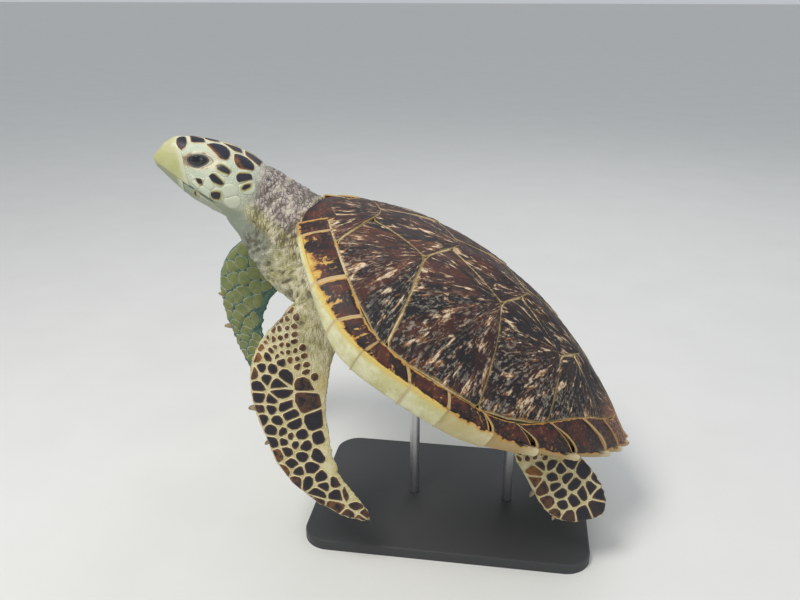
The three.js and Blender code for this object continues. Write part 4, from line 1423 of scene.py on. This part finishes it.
def beak_finish():
    f = Finish("beak_horn", Roughness=0.35, Coat_Roughness=0.25)
    place = f.place()
    streaks = f.cloud(f.stretch(place, (30, 240, 200), (0.4, -0.48, 0.35)), 1.0, 4, 0.55, 0.4)
    broad = f.cloud(place, 28, 3, 0.5)
    grains = f.cloud(place, 380, 3, 0.6)
    green = f.mark("side")
    colour = f.mix(streaks.rise(0.2, 0.8) * 0.5 + broad * 0.4, (0.42, 0.41, 0.20), (0.54, 0.52, 0.31))
    colour = f.mix(green.rise(0.2, 0.9) * broad.rise(0.3, 0.7) * 0.8, colour, (0.38, 0.40, 0.14))
    # Darker where the low mark is high: on the upper horn that is painted shade along the mouth line, on the lower
    # horn the horn lower down.
    colour = f.mix(f.mark("low") * 0.75, colour, (0.22, 0.25, 0.17))
    colour = f.mix((f.mark("root") + (broad - 0.5) * 0.5).rise(1.0, 0.2) * 0.8, colour, (0.56, 0.57, 0.42))
    f.set(Base_Color=colour, Roughness=0.3 + 0.2 * streaks)
    f.shader.inputs["Coat Weight"].default_value = 0.2
    f.bump(streaks * 0.5 + grains * 0.3, 0.0004, 0.5)
    return f


# Each horn is the front of the skull or jaw, a little proud of the skin, cut off along a slant.
beak = beak_finish()
for name, parts, ends in (
    ("upper_beak", ["upper_beak", "head"], (((0.832, 28), (0.60, -32)),)),
    ("lower_beak", ["lower_beak", "lower_jaw"], (((0.70, -20), (0.62, -50)),)),
):
    bm = remeshed(parts, 1.2, 0.9)
    relax(bm, 4, 0.5)
    bm.transform(HEAD_BACK)
    (s0, z0), (s1, z1) = ends[0]
    along = Vector(((s0 - s1) * HEAD_LENGTH, 0, z0 - z1)).normalized()
    cuts = [(Vector((s0 * HEAD_LENGTH, 0, z0)), Vector((-along.z, 0, along.x)))]
    if name == "upper_beak":
        cuts.append((Vector((0.6 * HEAD_LENGTH, 0, -30.2)), Vector((0.17, 0, -0.985))))
    for point, out in cuts:
        bmesh.ops.bisect_plane(
            bm, geom=bm.verts[:] + bm.edges[:] + bm.faces[:], plane_co=point, plane_no=out, clear_outer=True
        )
        bmesh.ops.holes_fill(bm, edges=[e for e in bm.edges if e.is_boundary])
    bmesh.ops.triangulate(bm, faces=[f for f in bm.faces if len(f.verts) > 4])
    cheek_side, low = bm.verts.layers.float.new("side"), bm.verts.layers.float.new("low")
    root = bm.verts.layers.float.new("root")
    for v in bm.verts:
        v[cheek_side] = smooth(v.co.z, 22, -12)
        v[low] = float(name == "lower_beak")
        v[root] = (cuts[0][0] - v.co).dot(cuts[0][1]) / 10
    bm.transform(HEAD)
    bmesh.ops.recalc_face_normals(bm, faces=bm.faces)
    side, low = bm.verts.layers.float.new("side"), bm.verts.layers.float.new("low")
    for v in bm.verts:
        local = HEAD_BACK @ v.co
        v[side] = math.exp(-((local.z - 14) / 13) ** 2 - ((local.x - 133) / 12) ** 2)
        edge = between(MOUTH, local.x / HEAD_LENGTH)[0]
        # low: on the upper horn, nearness to the mouth line, painted as shade; on the lower horn, depth below the
        # mouth line.
        v[low] = smooth(abs(local.z - edge), 5, 0.5) if name == "upper_beak" else smooth(local.z - edge, -2, -12)
    piece(f"{name}_horn", bm, beak, [name])

eye_finish = Finish("eye", Roughness=0.08, Coat_Weight=0.35, Coat_Roughness=0.02)
gaze = eye_finish.mark("gaze")
ray = eye_finish.mark("ray")
spokes = eye_finish.cloud(eye_finish.node("ShaderNodeCombineXYZ", None, {0: ray * 6, 1: gaze * 2}), 1.0, 4, 0.6)
iris = eye_finish.mix(spokes.rise(0.35, 0.7), (0.010, 0.013, 0.022), (0.028, 0.030, 0.036))
eye_colour = eye_finish.mix(gaze.rise(0.36, 0.42), (0.003, 0.003, 0.005), iris)
eye_colour = eye_finish.mix(gaze.rise(0.78, 0.98), eye_colour, (0.03, 0.028, 0.03))
eye_finish.set(Base_Color=eye_colour)
eye_finish.bump(spokes, 0.0001, 0.2)
for name, side in (("eye_left", 1), ("eye_right", -1)):
    bm = bmesh.new()
    bmesh.ops.create_uvsphere(bm, u_segments=64, v_segments=40, radius=EYE_RADIUS)
    look, turn = bm.verts.layers.float.new("gaze"), bm.verts.layers.float.new("ray")
    for v in bm.verts:
        v[look] = math.acos(max(-1.0, min(1.0, v.co.z / EYE_RADIUS)))
        v[turn] = abs(math.atan2(v.co.y, v.co.x))
        v.co *= 1 + 0.05 * math.exp(-((v[look] / 0.5) ** 2))
    aim = Vector((0.22, side, 0.12)).to_track_quat("Z", "Y").to_matrix().to_4x4()
    bm.transform(HEAD @ Matrix.Translation((EYE.x, EYE.y * side, EYE.z)) @ aim)
    piece(f"{name}_ball", bm, eye_finish, [name])

CLAWS = [f"claw_{row}_{side}{more}" for row in ("front", "rear") for side in ("left", "right") for more in ("", "_2")]
claws = remeshed(CLAWS, 0.7, 0.15)
relax(claws, 3, 0.5)
claw_finish = Finish("claw_horn", Roughness=0.35, Coat_Weight=0.2)
claw_cloud = claw_finish.cloud(claw_finish.place(), 160, 4, 0.6)
claw_finish.set(Base_Color=claw_finish.mix(claw_cloud.rise(0.35, 0.65), (0.17, 0.12, 0.06), (0.34, 0.27, 0.15)))
claw_finish.bump(claw_cloud, 0.0003)
piece("claws", claws, claw_finish, CLAWS)

piece("skin", skin, skin_finish(), FLESH)

# ---------------------------------------------------------------- plastron

belly = solid_of("plastron")
belly_tree = BVHTree.FromBMesh(belly)
belly.free()


def belly_surface(flat):
    at, normal, *_ = belly_tree.ray_cast(Vector((flat.x, flat.y, -200)), Vector((0, 0, 1)), 300)
    if at is None:
        at, normal, *_ = belly_tree.find_nearest(Vector((flat.x, flat.y, -40)))
    return at, (Vector((0, 0, -1)) + normal * 0.6).normalized()


BELLY_SEAMS = (226, 178, 118, 46, -46, -128, -208)
BELLY_HALF = (44, 88, 108, 112, 108, 88, 22)
bellies = Coat()
for i in range(6):
    front, rear = BELLY_SEAMS[i], BELLY_SEAMS[i + 1]
    for side in (1, -1):
        corners = [Vector((front, 0)), Vector((front, BELLY_HALF[i] * side)),
                   Vector((rear, BELLY_HALF[i + 1] * side)), Vector((rear, 0))]
        cuts = hull_cuts(corners) + round_off(corners, 2)
        low, high = bounds_of(corners, 0)
        bm = plate(cuts, low, high, 6, 0.6)
        ridged(bm, cuts, 1.5)
        marks = {"edge": lambda flat, inset: inset / 10, "tone": i / 6}
        shape_plate(bm, cuts, 0.6, belly_surface, lambda flat, inset: 1.0 - 0.7 * (1 - min(1, inset / 2)) ** 2,
                    2.4, marks)
        bellies.add(bm)
for i in range(4):
    front, rear = 112 - i * 42, 70 - i * 42
    for side in (1, -1):
        corners = [Vector((front, 113 * side)), Vector((front, 160 * side)), Vector((rear, 160 * side)),
                   Vector((rear, 113 * side))]
        cuts = hull_cuts(corners) + round_off(corners, 2)
        low, high = bounds_of(corners, 0)
        bm = plate(cuts, low, high, 6, 0.6)
        ridged(bm, cuts, 1.5)
        marks = {"edge": lambda flat, inset: inset / 10, "tone": i / 4}
        shape_plate(bm, cuts, 0.6, belly_surface, lambda flat, inset: 1.0 - 0.7 * (1 - min(1, inset / 2)) ** 2,
                    2.4, marks)
        bellies.add(bm)


def belly_finish(name):
    f = Finish(name, Roughness=0.45)
    place = f.place()
    mottle = f.cloud(place, 22, 5, 0.6, 0.4)
    grains = f.cloud(place, 300, 3, 0.6)
    edge = f.mark("edge")
    colour = f.mix(mottle.rise(0.3, 0.7), (0.52, 0.45, 0.24), (0.66, 0.61, 0.42))
    colour = f.mix(grains.rise(0.6, 0.75) * 0.3, colour, (0.35, 0.26, 0.13))
    colour = f.mix(edge.rise(0.12, 0.0) * 0.55, colour, (0.32, 0.31, 0.25))
    f.set(Base_Color=colour, Roughness=0.4 + 0.2 * mottle)
    f.bump(mottle + grains * 0.3 + (edge * 24).wave() * 0.15, 0.0006, 0.6)
    return f


belly_horn = belly_finish("belly_horn")
piece("plastron_scutes", bellies.bm, belly_horn)

# ---------------------------------------------------------------- carried-over solids


def coat_of(node, finish):
    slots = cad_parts[node].material_slots
    if not slots:
        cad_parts[node].data.materials.append(finish.material)
    for entry in slots:
        entry.material = finish.material


coat_of("plastron", belly_finish("belly_seams"))

stand_paint = Finish("stand_paint", Roughness=0.5)
paint_grain = stand_paint.cloud(stand_paint.place(), 900, 2, 0.6)
paint_cloud = stand_paint.cloud(stand_paint.place(), 7, 4, 0.6)
stand_paint.set(
    Base_Color=stand_paint.mix(paint_cloud, (0.028, 0.029, 0.031), (0.042, 0.043, 0.045)),
    Roughness=0.42 + 0.2 * paint_cloud,
)
stand_paint.bump(paint_grain, 0.00015, 0.5)
coat_of("stand_base", stand_paint)

steel = Finish("brushed_steel", Metallic=1.0)
brushing = steel.cloud(steel.stretch(steel.place(), (60, 60, 2600)), 1.0, 3, 0.6)
steel.set(Base_Color=steel.mix(brushing, (0.50, 0.50, 0.51), (0.66, 0.66, 0.67)), Roughness=0.26 + 0.16 * brushing)
steel.bump(brushing, 0.00008, 0.4)
for node in ("stand_rod_front", "stand_rod_rear"):
    coat_of(node, steel)
